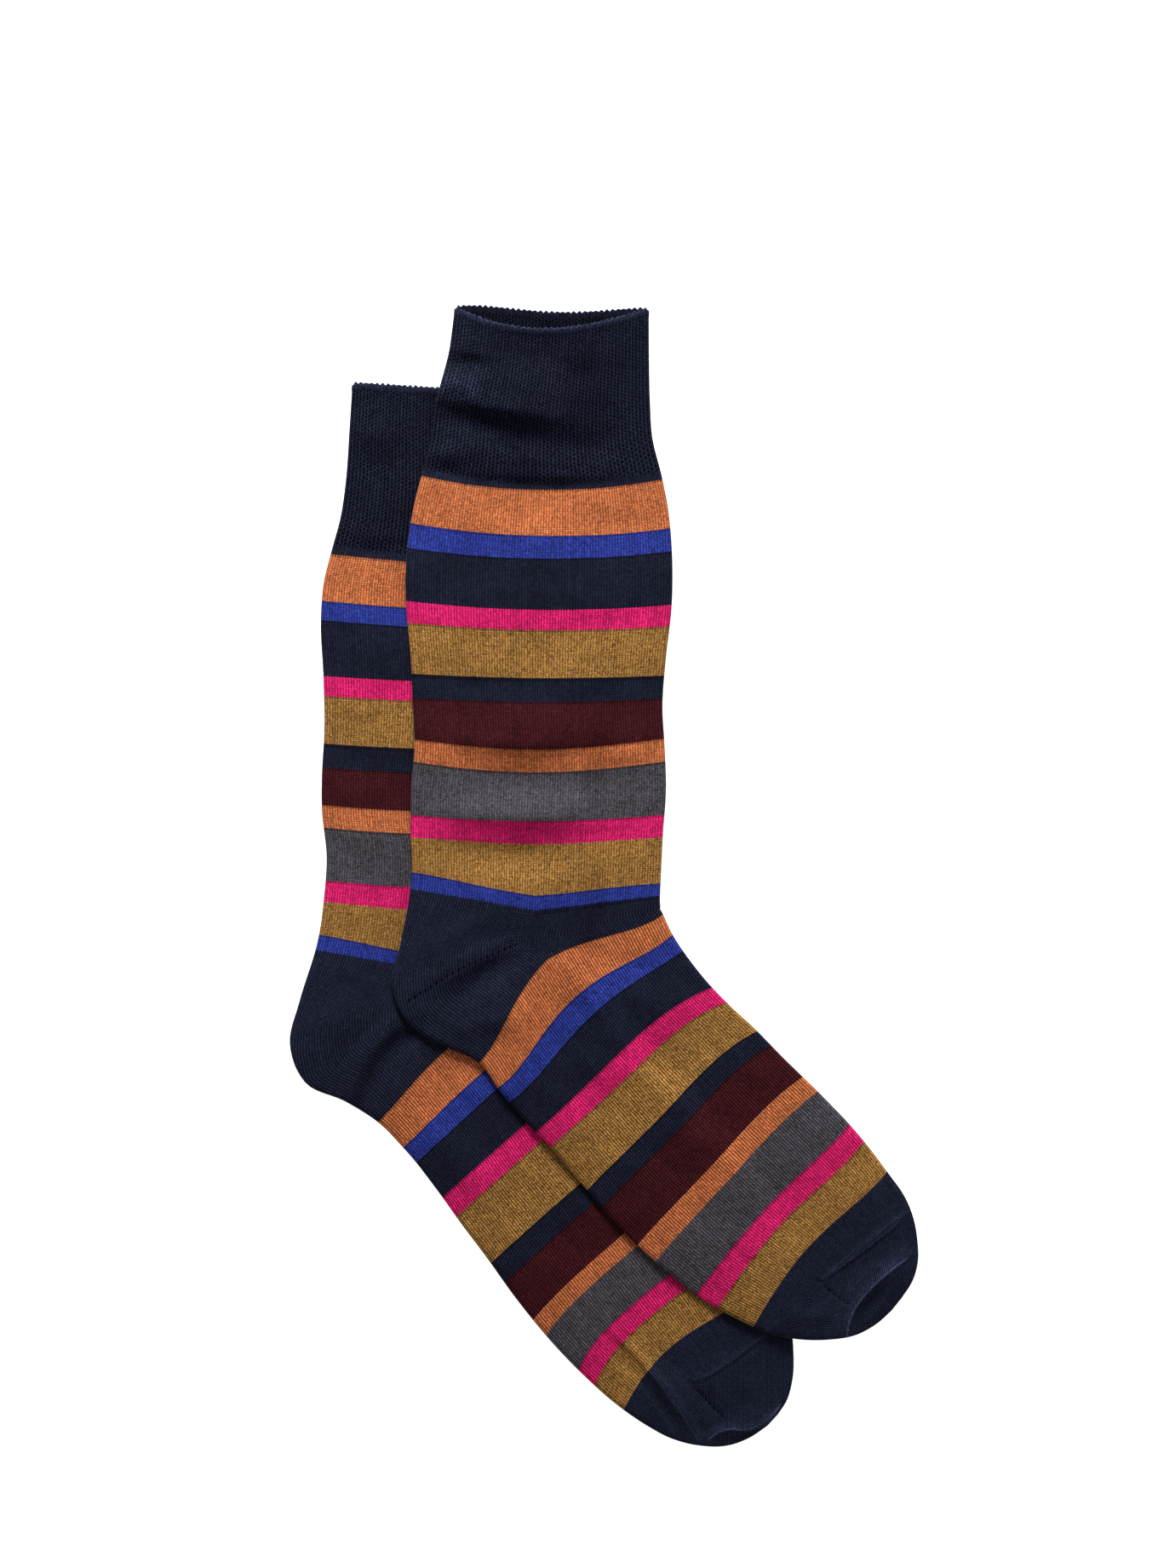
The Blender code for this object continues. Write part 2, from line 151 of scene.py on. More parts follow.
def steps_of(path):
    """The lengths between neighbouring points of a path."""
    return np.linalg.norm(np.diff(path, axis=0), axis=1)


def travel(path):
    """How far along a path each of its points lies."""
    return np.append(0.0, np.cumsum(steps_of(path)))


def ring_shares(rows):
    """For each gap between two course lines, how far along it (0 to 1) its rings lie."""
    backs, fronts = rows[:, 0:2], rows[:, 2:4]
    gaps = np.maximum(steps_of((backs + fronts) / 2), BACK_STRETCH * steps_of(backs))
    shares = [(np.arange(RIM_STEPS) / RIM_STEPS) ** RIM_CROWDING]
    for i, gap in enumerate(gaps[1:], start=1):
        steps = math.ceil(gap / (TOE_RING_STEP if i >= AT["toe cap"] else RING_STEP))
        even = np.arange(steps) / steps
        if i == AT["gore"]:
            even = np.sort(np.append(even, GORE_CROWDING / gap))
        if i == AT["gore"] - 1:
            even = np.append(even, 1 - GORE_CROWDING / gap)
        shares.append(even)
    return shares


def smooth_rings(sections):
    """The row of every ring, and each ring's place counted in sections (2.5 is halfway from 2 to 3)."""
    rows = np.array([section[1:] for section in sections])
    slopes = np.gradient(rows, travel(rows[:, :4]), axis=0)
    filled, places = [], []
    for i, (gap, shares) in enumerate(zip(steps_of(rows[:, :4]), ring_shares(rows))):
        t = shares[:, None]
        start = (1 + 2 * t) * (1 - t) ** 2 * rows[i] + t * (1 - t) ** 2 * gap * slopes[i]
        end = t * t * (3 - 2 * t) * rows[i + 1] + t * t * (t - 1) * gap * slopes[i + 1]
        filled.append(start + end)
        places.append(i + shares)
    return np.concatenate([*filled, rows[-1:]]), np.concatenate([*places, [len(rows) - 1.0]])


def ring_at(places, name):
    """The number of the ring that falls on a named section."""
    return int(np.argmin(np.abs(places - AT[name])))


for sock_name, table in (("upper", UPPER_SECTIONS), ("lower", LOWER_SECTIONS)):
    print("the", sock_name, "sock gets", len(smooth_rings(table)[1]), "rings")

# %% [markdown]
# ## Across a ring
#
# A tube that lies flat is two layers with a rounded fold at each edge. Stitches are spaced evenly along
# the cloth, not along the table, so the points of a ring are spread by the length of cloth between them:
# they crowd together where the cloth turns over the fold, just as the stitches do on a real sock.

# %% The flattened cross-section
WALL = 1.1  # mm, thickness of the knitted cloth
LAY = 3.4  # mm, two walls and the air between them
LEAST_LAY = 2 * WALL + 0.2  # mm, so that the two walls never meet
EDGE_LIMIT = 2.4  # a folded edge's radius is at most the sock's width over this
TOP_COLUMNS = 152  # strips across the layer that faces up
UNDER_COLUMNS = 72  # strips across the layer underneath


def bow_across(share, quarter, half, three_quarters, kink=0.0):
    """The curve of degree four through 0 at both edges and the three bows between them. A kink of 1 joins
    them by straight runs instead, as where the heel starts, and one below 1 lies between the two."""
    knots = np.array([0.0, 0.25, 0.5, 0.75, 1.0])
    smooth = np.zeros_like(share)
    for i, bow in ((1, quarter), (2, half), (3, three_quarters)):
        others = np.delete(knots, i)
        smooth += bow * np.prod([(share - k) / (knots[i] - k) for k in others], axis=0)
    straight = np.interp(share, knots, [0.0, quarter, half, three_quarters, 0.0])
    return (1 - kink) * smooth + kink * straight


def layer_profile(width, cloth_shares):
    """For points spread evenly along a layer's cloth: the distance from the back edge, and how far up
    (0 to 1) from the middle of the folded edge to the flat of the layer each one lies."""
    radius = min(LAY / 2, width / EDGE_LIMIT)
    turn = radius * math.pi / 2
    flat = width - 2 * radius
    run = cloth_shares * (flat + 2 * turn)
    back_angle = np.clip(run / radius, 0, math.pi / 2)
    front_angle = np.clip((flat + 2 * turn - run) / radius, 0, math.pi / 2)
    distance = radius * (1 - np.cos(back_angle) + np.cos(front_angle)) + np.clip(run - turn, 0, flat)
    return distance, np.minimum(np.sin(back_angle), np.sin(front_angle))


TOP_SHARES = np.arange(TOP_COLUMNS + 1) / TOP_COLUMNS
UNDER_SHARES = 1 - np.arange(1, UNDER_COLUMNS) / UNDER_COLUMNS
RING_SHARES = np.concatenate([TOP_SHARES, UNDER_SHARES])
print("each ring has", len(RING_SHARES), "points")

# %% [markdown]
# ## Folds and creases
#
# Nothing makes cloth look like cloth as much as its folds. They aren't random: the cuff has a deep trough
# where it was folded in its packet, the calf gathers under the cuff, the heel pocket pushes up a ridge
# beside its gore line, and the toe pinches over its linked seam. So each fold is given one by one, as a soft
# ridge (height above 0) or trough (below 0) along a bent line, in two tables for each sock: first the
# large ones that the solids have too, then finer creases that only the cloth shows. A row gives X and Y of
# the line's start, bend and end, the half width, the height, and for some a lean. A fold that leans is
# steeper on one side: above 0, on the right of someone who walks along it from its start.

# %% Large folds
FOLD_COLUMNS = "name start_x start_y bend_x bend_y end_x end_y half_width height lean"
Fold = namedtuple("Fold", FOLD_COLUMNS, defaults=(0.0,))


def folds_in(text):
    """The folds of a table, one on each line: a name, a colon and its numbers."""
    lines = (line.split(":") for line in text.strip().splitlines())
    return [Fold(name, *map(float, numbers.split())) for name, numbers in lines]


UPPER_FOLDS = folds_in("""
cuff bulge: -60 192.5 -40 186.2 -6 183.5 11 1.5 0.5
cuff trough: -62 182 -34 175 6 172 8.5 -1.3
below the cuff: -56 166.5 -26 163.5 8 164.5 7 0.5 0.2
gather at the calf: -60 157.5 -28 154 14 155 6 -0.4
calf swell: -46 124 -24 120 -4 121 26 1.2
shin wave, high: -68 59 -28 56.5 14 58 14 1.9 0.2
shin trough: -72 40 -30 38 16 40 9 -1.2
shin wave, low: -68 24.5 -30 23 12 25 10 1.9 0.2
ankle trough: -68 9.5 -38 7 -6 8.5 8 -1.2
ankle swell: -54 -11 -34 -12 -12 -9 14 0.8
heel gore: -31 -31 -53 -42 -73 -56 7 -0.6
heel pocket: -50 -49 -40 -54 -28 -61 13 1.6
instep ridge: -20 -33 4 -46 32 -56 14 1.6
sole hollow: -18 -80 10 -104 38 -128 13 -0.5
foot swell: 34 -94 50 -108 68 -124 20 1.3
toe seam ridge: 84 -161 102 -146 121 -133.5 9 0.6
toe pinch: 97 -182 101 -168.6 120.5 -152.8 7 1 0.2
toe hollow: 105 -178 110 -168 119.5 -160 7 -0.25
""")
LOWER_FOLDS = folds_in("""
calf edge swell: -99 114 -96 88 -96 58 12 1
shin trough: -108 47 -98 45 -84 43 9 -0.7
shin swell: -104 22 -96 20 -86 18 13 1
heel swell: -112 -50 -106 -56 -98 -64 15 1.6
heel gore: -78 -60 -90 -71 -99.5 -89 8.5 -0.9
sole swell: -74 -98 -60 -112 -44 -132 12 1
ball trough: 2 -187 9 -193 18 -201 6 -0.8
toe seam ridge: 31 -200.5 45 -197 60 -188.5 8 0.3
toe crease ridge: 16 -194.5 29.5 -207 39.5 -225 6 1.3 0.4
toe tip ridge: 43 -223 56 -220 70 -212.6 6 0.9 0.5
""")
print(len(UPPER_FOLDS) + len(LOWER_FOLDS), "large folds")

# %% Fine creases
UPPER_CREASES = folds_in("""
below the rim: -57 214 -30 206 8 211 9 0.7
cuff dimple: -66 205.2 -55.5 204.6 -45 202.4 5.2 -3
cuff bulge, crest: -82 194.5 -52 188 -18 183 4.4 1.1 0.4
cuff trough, floor: -86 187 -52 180.4 -14 174.8 4.4 -1
cuff trough, back: -68 187.5 -54 184.6 -41 181.4 3.4 -0.7
cuff trough, front: -32 180 -18 177 -2 175 5 0.35
cuff knob: -66 196.6 -57.5 195 -49 192.6 5.2 2 0.3
cuff, upright shade: -38 215 -38 203 -40 191 6 -0.4
cuff, upright swell: -2 212 0 200 2 188 8 0.6
cuff end crest: -56 162.2 -22 159.1 12 160.6 2 0.75 0.4
cuff end nip: -60 159 -22 156.3 12 157.8 1.8 -0.8
calf dimple: -71 162.8 -64 161.6 -57 160.2 4.2 -1.6
calf dimple, crest: -71 170 -63 169 -55 167 4.5 0.7
calf, slanted: -64 148 -40 139 -18 137 7 0.4
calf, front: -6 146 8 141 20 143 7 -0.35
calf, lower: -30 104 -10 99 14 101 7 -0.4
calf, back: -74 108 -60 101 -42 99 7 0.35
shin ripple: -70 80 -50 76.5 -26 78 5 -0.4
shin wave, crest: -64 54 -34 51.4 -6 52.4 5 1 0.3
shin ripple, front: -6 50 6 48 18 50.5 4 0.45
shin trough, floor: -56 43 -34 41 -12 43 4 -0.4
shin wave, low crest: -70 26.5 -43 23.4 -12 24.4 5.5 1.1 0.3
ankle floor: -68 14 -43 11.4 -10 12.6 5 -0.8
ankle ripple: -44 2 -30 -1.5 -14 0.5 4 0.35
gore crest: -30 -24.5 -54.5 -33.5 -78 -47 6 1.1 0.2
gore line: -31 -25.6 -55 -34.5 -76 -49 2.4 -0.4
gore shade: -38 -32 -55.6 -47.2 -69 -58 7 -1
heel hollow: -74 -20 -64 -17 -52 -15 7 -0.4
heel fold, low: -58 -62 -48 -58 -38 -58 4.5 0.5
heel turn: -70 -58 -62 -62 -54 -68 4 -0.4
instep ripple: -8 -30 6 -34 20 -32 5 -0.4
arch ripple: -8 -62 10 -72 26 -76 6 -0.4
arch, back: -34 -82 -24 -84 -14 -90 6 0.4
sole ripple: -4 -104 6 -112 16 -122 5 0.35
ball ripple: 44 -140 56 -146 66 -156 6 0.4
linked seam: 86.4 -161 103 -146.4 121 -133.6 1.5 0.35
seam groove: 87.2 -161.8 105.4 -148.9 119 -138.6 1.3 -0.2
second ridge: 86.6 -160.8 102.8 -149.6 118.2 -136.9 1.4 0.4
toe knot: 83.4 -160.5 85.2 -160.9 87.4 -161.6 1.4 -0.3
toe gore: 87 -162 92 -166.6 98.2 -170.5 1.6 -0.4
pinch crest: 97.3 -186 102 -169.2 122 -151.5 1.9 1.1 0.3
pinch, sole side: 88 -184.5 93.5 -180 96.6 -175 4.5 0.5
pinch, toe side: 111 -158.5 118 -152.5 124 -148 4.5 0.5
pinch floor: 102 -178 105.6 -171.4 112 -164.4 3.6 -0.55
toe end swell: 109 -172 113.5 -165 120 -157.5 5 0.6
sole end ripple: 72 -178 82 -176 92 -177 5 0.5
""")
LOWER_CREASES = folds_in("""
cuff ripple: -98 178 -88 176 -76 177 7 0.5
cuff hollow: -98 166 -88 164 -76 165 6 -0.4
cuff end crest: -102 137.5 -92 135.5 -80 136 4 0.6 0.3
cuff end nip: -104 131.5 -94 129.5 -82 130 4 -0.6
calf ripple: -108 92 -98 90 -86 91.5 6 0.4
shin ripple: -108 64 -98 62 -84 63 5 -0.4
shin crest: -108 34 -98 32 -84 33 6 0.5 0.2
ankle ripple: -108 0 -98 -3 -84 -1 5 0.4
pocket fold, crest: -70 -51 -91.6 -68.6 -106 -100 6 1.35 -0.3
pocket fold, floor: -70 -58 -88.6 -73.2 -103 -102 4.2 -1.1
heel ripple: -122 -62 -115 -70 -110 -80 6 -0.2
sole ripple: -50 -146 -40 -155 -32 -166 5 0.35
foot ripple: -16 -156 -8 -166 0 -176 6 0.35
ball crease: 0 -183 10 -190.5 20 -200 2.8 -0.8
linked seam, lower sock: 34.2 -199.9 46 -196 70 -177.6 1.5 0.45
seam groove, lower sock: 34.8 -201.4 47 -197.5 70.8 -179 1.3 -0.2
toe gore: 34.2 -201.4 41 -208.8 49 -217 1.8 -0.4
crest of the toe crease: 8 -186 25.2 -206 40 -229 2.8 1.4 0.35
beside the toe crease: 4 -189 21.4 -208.2 35 -229 3.4 -1.3
tip crest: 51 -220.3 61.5 -218.9 71 -210 2 0.8 0.3
tip crest, sole: 41 -225.5 46.4 -221.3 54 -220.2 2 0.8 0.3
tip crease: 47 -225.4 60 -223.4 72 -214.5 2.6 -0.4
""")
print(len(UPPER_CREASES) + len(LOWER_CREASES), "fine creases")

# %% [markdown]
# A fold's height at a point depends on how near the point is to the fold's line. The line is a smooth
# curve through its start, bend and end, cut into short runs. Straight runs with one corner would leave a
# visible kink in the light on the cloth.

# %% Height of the folds
CURVE_RUNS = 10
BLUNTNESS = 0.06  # how little a fold fades at its ends; at 0 it fades to nothing


def bent_line(fold):
    """Points of the curve that passes a fold's start, bend and end."""
    start, bend, end = (np.array(fold[i : i + 2]) for i in (1, 3, 5))
    t = np.linspace(0, 1, CURVE_RUNS + 1)[:, None]
    pull = 2 * bend - (start + end) / 2
    return (1 - t) ** 2 * start + 2 * t * (1 - t) * pull + t * t * end


def nearest_on_path(path, x, y):
    """How far each point (x, y) is from a path of straight runs, how far along it (0 to 1) it lies, and
    on which side (1 right, -1 left)."""
    starts = travel(path)
    away = np.full(x.shape, np.inf)
    along, side = np.zeros(x.shape), np.ones(x.shape)
    for (x0, y0), (run_x, run_y), length, start in zip(path, np.diff(path, axis=0), steps_of(path), starts):
        share = np.clip(((x - x0) * run_x + (y - y0) * run_y) / length**2, 0, 1)
        distance = np.hypot(x - x0 - share * run_x, y - y0 - share * run_y)
        nearer = distance < away
        away = np.where(nearer, distance, away)
        along = np.where(nearer, (start + share * length) / starts[-1], along)
        side = np.where(nearer, np.sign((x - x0) * run_y - (y - y0) * run_x), side)
    return away, along, side


def fold_height(folds, x, y):
    """The height that folds add to a layer at the points (x, y)."""
    total = np.zeros_like(x)
    for fold in folds:
        reach = max(math.dist(fold[1:3], fold[3:5]), math.dist(fold[3:5], fold[5:7])) + 2 * fold.half_width
        near = np.hypot(x - fold.bend_x, y - fold.bend_y) < reach
        away, along, side = nearest_on_path(bent_line(fold), x[near], y[near])
        swell = np.sin(np.pi * (BLUNTNESS + (1 - 2 * BLUNTNESS) * along))
        bell = np.clip(1 - (away / (fold.half_width * (1 - fold.lean * side))) ** 2, 0, None) ** 2
        total[near] += fold.height * swell * bell
    return total


# %% [markdown]
# ## The restless surface between folds
#
# Even where no fold runs, knitted cloth is never a flat plane. A sum of slow waves in many directions
# gives that restlessness: it has no start and no end, repeats nowhere on an object of this size, and with
# a seeded generator it is the same in each run. A noise texture with a Displace modifier would do as well,
# but here the heights are needed as numbers, before the wall is built.
#
# The layer that faces up is as high as two walls and the air between them, plus its own swelling, folds
# and waves. It can't sink further than onto the layer below it, and a soft minimum keeps it above that
# without a hard edge at the foot of a trough.

# %% Slow waves and the height of a layer
WAVES = 26
SHORTEST_WAVE = 9.0  # mm
LONGEST_WAVE = 46.0  # mm
WAVE_STEEPNESS = 0.0060  # height of a wave over its length
WAVES_MET = 4  # the sum is as strong as if this many waves met
LOWER_SEED, UPPER_SEED = 11, 5  # each sock has its own waves
CROWN = 0.7  # mm that a layer swells towards its middle
MINIMUM_HARDNESS = 4.0  # the higher, the sharper the change at the soft minimum


def unevenness(x, y, seed):
    """Small heights, above and below 0, at the points (x, y)."""
    dice = np.random.default_rng(seed)
    total = np.zeros_like(x)
    for _ in range(WAVES):
        length = SHORTEST_WAVE * (LONGEST_WAVE / SHORTEST_WAVE) ** dice.random()
        heading, start = 2 * np.pi * dice.random(2)
        run = x * math.cos(heading) + y * math.sin(heading)
        total += WAVE_STEEPNESS * length * np.sin(2 * np.pi * run / length + start)
    return total / math.sqrt(WAVES / WAVES_MET)


def layer_height(swelling, folds, x, y, seed):
    """How high the layer that faces up lies over its ground, at the points (x, y)."""
    height = LAY + swelling + fold_height(folds, x, y) + unevenness(x, y, seed)
    spare = (height - LEAST_LAY) * MINIMUM_HARDNESS
    return LEAST_LAY + np.logaddexp(0.0, spare) / MINIMUM_HARDNESS


sample = unevenness(*np.meshgrid(np.arange(-80.0, 80.0), np.arange(-80.0, 80.0)), UPPER_SEED)
print("the cloth is uneven by", round(float(sample.std()), 2), "mm on average")

# %% [markdown]
# ## How the upper sock lies on the lower one
#
# The lower sock lies on the surface, pressed down a little under the upper one's weight. The upper one
# lies on it, folds and all, and past its outline comes down a soft slope, because knitted cloth bridges a
# step instead of turning a sharp corner. Both only depend on the distance from an outline, so they are
# worked out, not simulated: a simulation could push one wall through the other.

# %% The ground under each sock
CLEAR = 0.3  # mm of air between the two socks
PRESS = 0.9  # mm by which the upper sock presses the lower one down
PRESS_REACH = 6.0  # mm beside the upper sock over which the lower one comes up again
DRAPE_START = 2.5  # mm past the lower outline where the upper sock begins to come down
DRAPE = 13.0  # mm, the width of that slope
OUTLINE_STEP = 3  # the outline takes every third ring


def smoothstep(low, high, x):
    """0 up to low, 1 from high, and a soft S between them."""
    t = np.clip((x - low) / (high - low), 0, 1)
    return t * t * (3 - 2 * t)


def fading(distance, reach):
    """1 at distance 0, and evenly down to 0 at reach and beyond it."""
    return np.clip(1 - distance / reach, 0, 1)


def distance_outside(sections, x, y):
    """How far each point lies outside a flattened sock's outline, 0 inside it."""
    rows = smooth_rings(sections)[0][::OUTLINE_STEP]
    ring = np.concatenate([rows[:, 0:2], rows[::-1, 2:4], rows[:1, 0:2]])
    inside = np.zeros(x.shape, bool)
    for (x0, y0), (x1, y1) in zip(ring, ring[1:]):
        if y0 != y1:
            inside ^= ((y0 > y) != (y1 > y)) & (x < x0 + (y - y0) / (y1 - y0) * (x1 - x0))
    return np.where(inside, 0.0, nearest_on_path(ring, x, y)[0])


def flat_surface(x, y):
    """The height 0 everywhere, for the lower sock's ground and for the weight on the upper one."""
    return np.zeros_like(x)


def pressed_down(x, y):
    """How far the weight of the upper sock presses the lower one down."""
    return PRESS * fading(distance_outside(UPPER_SECTIONS, x, y), PRESS_REACH) ** 2


def over_lower_sock(x, y):
    """The height at which the upper sock lies: on the lower sock, then down a slope to the surface."""
    outside = distance_outside(LOWER_SECTIONS, x, y)
    top = layer_height(CROWN - pressed_down(x, y), LOWER_FOLDS + LOWER_CREASES, x, y, LOWER_SEED)
    return (1 - smoothstep(DRAPE_START, DRAPE_START + DRAPE, outside)) * (top + CLEAR)


print("the upper sock reaches the surface", DRAPE_START + DRAPE, "mm beside the lower one")

# %% [markdown]
# ## The outer face of a sock
#
# Now each ring gets its height. The layer that faces up takes the folds, and swells a little towards its
# middle. The mouth of the upper sock stands open: its front half lifts, and the cloth behind it reaches
# further out. Underneath, the cloth lies flat on what carries it, with a few shallow ripples where it
# doesn't quite touch. At the toe the tube ends in a round edge, so there both layers sink to the middle.

# %% Mouth, heel, edges and underside
MOUTH_REACH = 74.0  # mm down the cuff where the opened mouth closes again
MOUTH_CURVE = 1.5  # the higher, the sooner it closes
MOUTH_LIFT = (6.0, 7.2, 4.6)  # mm up at a quarter, half and three quarters across the front layer
MOUTH_SHIFT = (6.6, 6.6, 4.5)  # mm by which the cloth behind reaches further out
SHUT = (0.0, 0.0, 0.0)  # the mouth of the lower sock
MOUTH_ROLL = 0.11  # of its lift by which the lifted edge also draws back towards the leg
KINK_REACH = 0.9  # sections from the heel's start or end to where its kink has gone
FOOT_KINK = 0.4  # how sharp the corner is where the foot starts; at the heel's top it is 1
CROWN_REACH = 15.0  # mm from a folded edge to the full swelling
CROWN_WIDTH = 60.0  # mm, where the sock is narrower it swells less
EDGE_SINK = 0.6  # mm that a layer lies lower beside its folded edges
TIP_LEAST = 0.04  # of its height is left where the toe's edge closes

UNDER_RIPPLES = folds_in("""
cuff: -62 176 -40 172 0 174 7 0.35
calf: -66 120 -30 112 10 116 8 0.35
calf, low: -110 92 -70 84 -20 88 8 0.3
shin: -60 60 -20 52 16 56 7 0.35
ankle: -100 14 -60 4 10 8 8 0.35
heel: -74 -40 -50 -34 -26 -26 5 0.4
lower heel: -110 -70 -90 -62 -60 -56 5 0.4
arch: -10 -70 10 -90 40 -108 7 0.35
lower arch: -60 -110 -30 -140 0 -160 7 0.35
ball: 40 -150 60 -142 84 -126 6 0.35
lower ball: 6 -196 24 -186 48 -170 6 0.35
""")
print("the mouth opens by", max(MOUTH_LIFT), "mm, and", len(UNDER_RIPPLES), "ripples lie underneath")

# %% Rings of the outer face
Tube = namedtuple("Tube", "rings places depths forward")


def outer_rings(sections, folds, seed, ground, press, mouth_lift, mouth_shift):
    """The outer face: its rings, and each ring's place, depth from the rim and direction to the toe. A
    ring runs from the back edge over the top layer to the front edge, and back underneath."""
    rows, places = smooth_rings(sections)
    depths = travel((rows[:, 0:2] + rows[:, 2:4]) / 2)
    heel = [AT[name] for name in ("heel top", "heel 2", "heel end")]
    kinks = np.interp(places, [heel[0] - KINK_REACH, *heel, heel[2] + KINK_REACH], [0, 1, 1, FOOT_KINK, 0])
    openings = fading(depths, MOUTH_REACH) ** MOUTH_CURVE
    top, rise, puff, under, under_rise, to_toe = ([] for _ in range(6))
    for row, kink, opening in zip(rows, kinks, openings):
        back, front = row[0:2], row[2:4]
        width = math.dist(back, front)
        across = (front - back) / width
        forward = np.array([across[1], -across[0]])
        for shares, points, rises in ((TOP_SHARES, top, rise), (UNDER_SHARES, under, under_rise)):
            distance, up = layer_profile(width, shares)
            share = np.clip(distance / width, 0, 1)
            swing = bow_across(share, *row[4:7], kink)
            if points is under:
                swing = swing - opening * bow_across(share, *mouth_shift)
            else:
                lift = opening * bow_across(share, *mouth_lift)
                swing = swing + MOUTH_ROLL * lift
                inwards = np.clip(np.minimum(distance, width - distance) / CROWN_REACH, 0, 1)
                crown = (CROWN + EDGE_SINK) * np.sin(inwards * math.pi / 2) - EDGE_SINK
                puff.append(crown * min(1.0, (width / CROWN_WIDTH) ** 2) + lift)
            points.append(back + np.outer(distance, across) + np.outer(swing, forward))
            rises.append(up)
        to_toe.append(forward)
    top, rise, puff, under, under_rise = map(np.array, (top, rise, puff, under, under_rise))
    top_at, under_at = (top[..., 0], top[..., 1]), (under[..., 0], under[..., 1])
    height = layer_height(puff - press(*top_at), folds, *top_at, seed)
    top_z = ground(*top_at) + LAY / 2 + (height - LAY / 2) * rise
    ripple = fold_height(UNDER_RIPPLES, *under_at) * under_rise
    under_z = ground(*under_at) + LAY / 2 * (1 - under_rise) + ripple
    rings = np.concatenate([np.dstack([top, top_z]), np.dstack([under, under_z])], axis=1)
    rounding = np.sqrt(1 - fading(depths[-1] - depths, LAY / 2) ** 2)
    fullness = rounding * (1 - TIP_LEAST) + TIP_LEAST
    middle_z = ground(rings[..., 0], rings[..., 1]) + LAY / 2
    rings[..., 2] = middle_z + (rings[..., 2] - middle_z) * fullness[:, None]
    return Tube(rings, places, depths, np.array(to_toe))


folds = LOWER_FOLDS + LOWER_CREASES
lower_tube = outer_rings(LOWER_SECTIONS, folds, LOWER_SEED, flat_surface, pressed_down, SHUT, SHUT)
folds, mouth = UPPER_FOLDS + UPPER_CREASES, (MOUTH_LIFT, MOUTH_SHIFT)
upper_tube = outer_rings(UPPER_SECTIONS, folds, UPPER_SEED, over_lower_sock, flat_surface, *mouth)
for tube in (lower_tube, upper_tube):
    print("an outer face of", tube.rings.shape, "with its top at", tube.rings[..., 2].max().round(2), "mm")

# %% [markdown]
# ## The rim
#
# The edge of a cuff is a turned welt: the first courses are folded inside and caught, which makes a
# slightly thicker roll with a tiny scallop at about every second rib. The roll is a swelling of the wall
# over its first millimetres. The scallops push the edge in and out along the sock, a little differently
# each, and at the two ends of the mouth the edge turns down in a round corner.

# %% Rim welt and scallops
SCALLOPS = 36  # across one layer
SCALLOP = 0.36  # mm in and out
SCALLOP_VARIETY = 0.5  # of that, by which they differ
VARIETY_WAVE = 41.0  # radians across a layer, of the slow wave that makes them differ
VARIETY_START = 1.0  # radians, where that wave begins
SCALLOP_DEPTH = 1.5  # mm down the cuff where they have died away
SCALLOP_FADE = 1.5  # the higher, the sooner they fade
CORNER = 1.5  # mm by which the very corner of the mouth turns down
CORNER_SHARE = 0.035  # of the width that it takes
CORNER_DEPTH = 9.0  # mm down the cuff where that has died away
WELT = 0.22  # mm, how much thicker the turned edge is
WELT_DEPTH = 2.6  # mm down the cuff where it has died away
LEAST_LENGTH = 1e-9  # of a vector before it is divided by its length


def cloth_normals(rings):
    """The outward direction at each point of a tube of rings."""
    round_it = np.roll(rings, -1, axis=1) - np.roll(rings, 1, axis=1)
    normals = np.cross(round_it, np.gradient(rings, axis=0))
    normals /= np.maximum(np.linalg.norm(normals, axis=2, keepdims=True), LEAST_LENGTH)
    outwards = rings - rings.mean(axis=1, keepdims=True)
    return normals if np.sum(outwards * normals) >= 0 else -normals


def add_welt(tube):
    """Rolls the rim of the outer face and scallops its edge."""
    variety = 1 + SCALLOP_VARIETY * np.sin(VARIETY_WAVE * RING_SHARES + VARIETY_START)
    wave = SCALLOP * np.cos(2 * np.pi * SCALLOPS * RING_SHARES) * variety
    fade = fading(tube.depths, SCALLOP_DEPTH) ** SCALLOP_FADE
    corner = CORNER * fading(np.minimum(RING_SHARES, 1 - RING_SHARES), CORNER_SHARE) ** 2
    corner_fade = fading(tube.depths, CORNER_DEPTH) ** 2
    push = np.outer(corner_fade, corner) - np.outer(fade, wave)
    roll = WELT * np.clip(1 - (tube.depths / WELT_DEPTH) ** 2, 0, None)
    rings = tube.rings + roll[:, None, None] * cloth_normals(tube.rings)
    rings[..., :2] += push[..., None] * tube.forward[:, None, :]
    rings[..., 2] = np.maximum(rings[..., 2], 0.0)
    return tube._replace(rings=rings)


upper_tube, lower_tube = add_welt(upper_tube), add_welt(lower_tube)
print("the rim has", 2 * SCALLOPS, "scallops all round")

# %% [markdown]
# ## From a face to a wall
#
# A Solidify modifier would give the outer face a thickness, but it would also spend as many faces inside
# the sock, where nobody looks, and leave the rim with two hard corners. Instead the inner face is the
# outer one, moved in by the wall's thickness, with only every third ring. Between two such rings a narrow
# trough could poke through it, so each inner ring lies as deep as the lowest of its neighbours. A half
# circle of lip rings joins the two faces at the rim. All of it is one closed grid.

# %% Wall and lip
INNER_RING_STEP = 3
INNER_END = 6.0  # mm before the tip where the inside of the sock ends
LIP_RINGS = 5


def lip_between(inner_ring, outer_ring, outwards):
    """Rings on the half circle from the inner edge of the wall round to the outer edge."""
    angles = math.pi * np.arange(1, LIP_RINGS + 1)[:, None, None] / (LIP_RINGS + 1)
    middle, half = (inner_ring + outer_ring) / 2, (outer_ring - inner_ring) / 2
    return middle - half * np.cos(angles) + WALL / 2 * outwards * np.sin(angles)


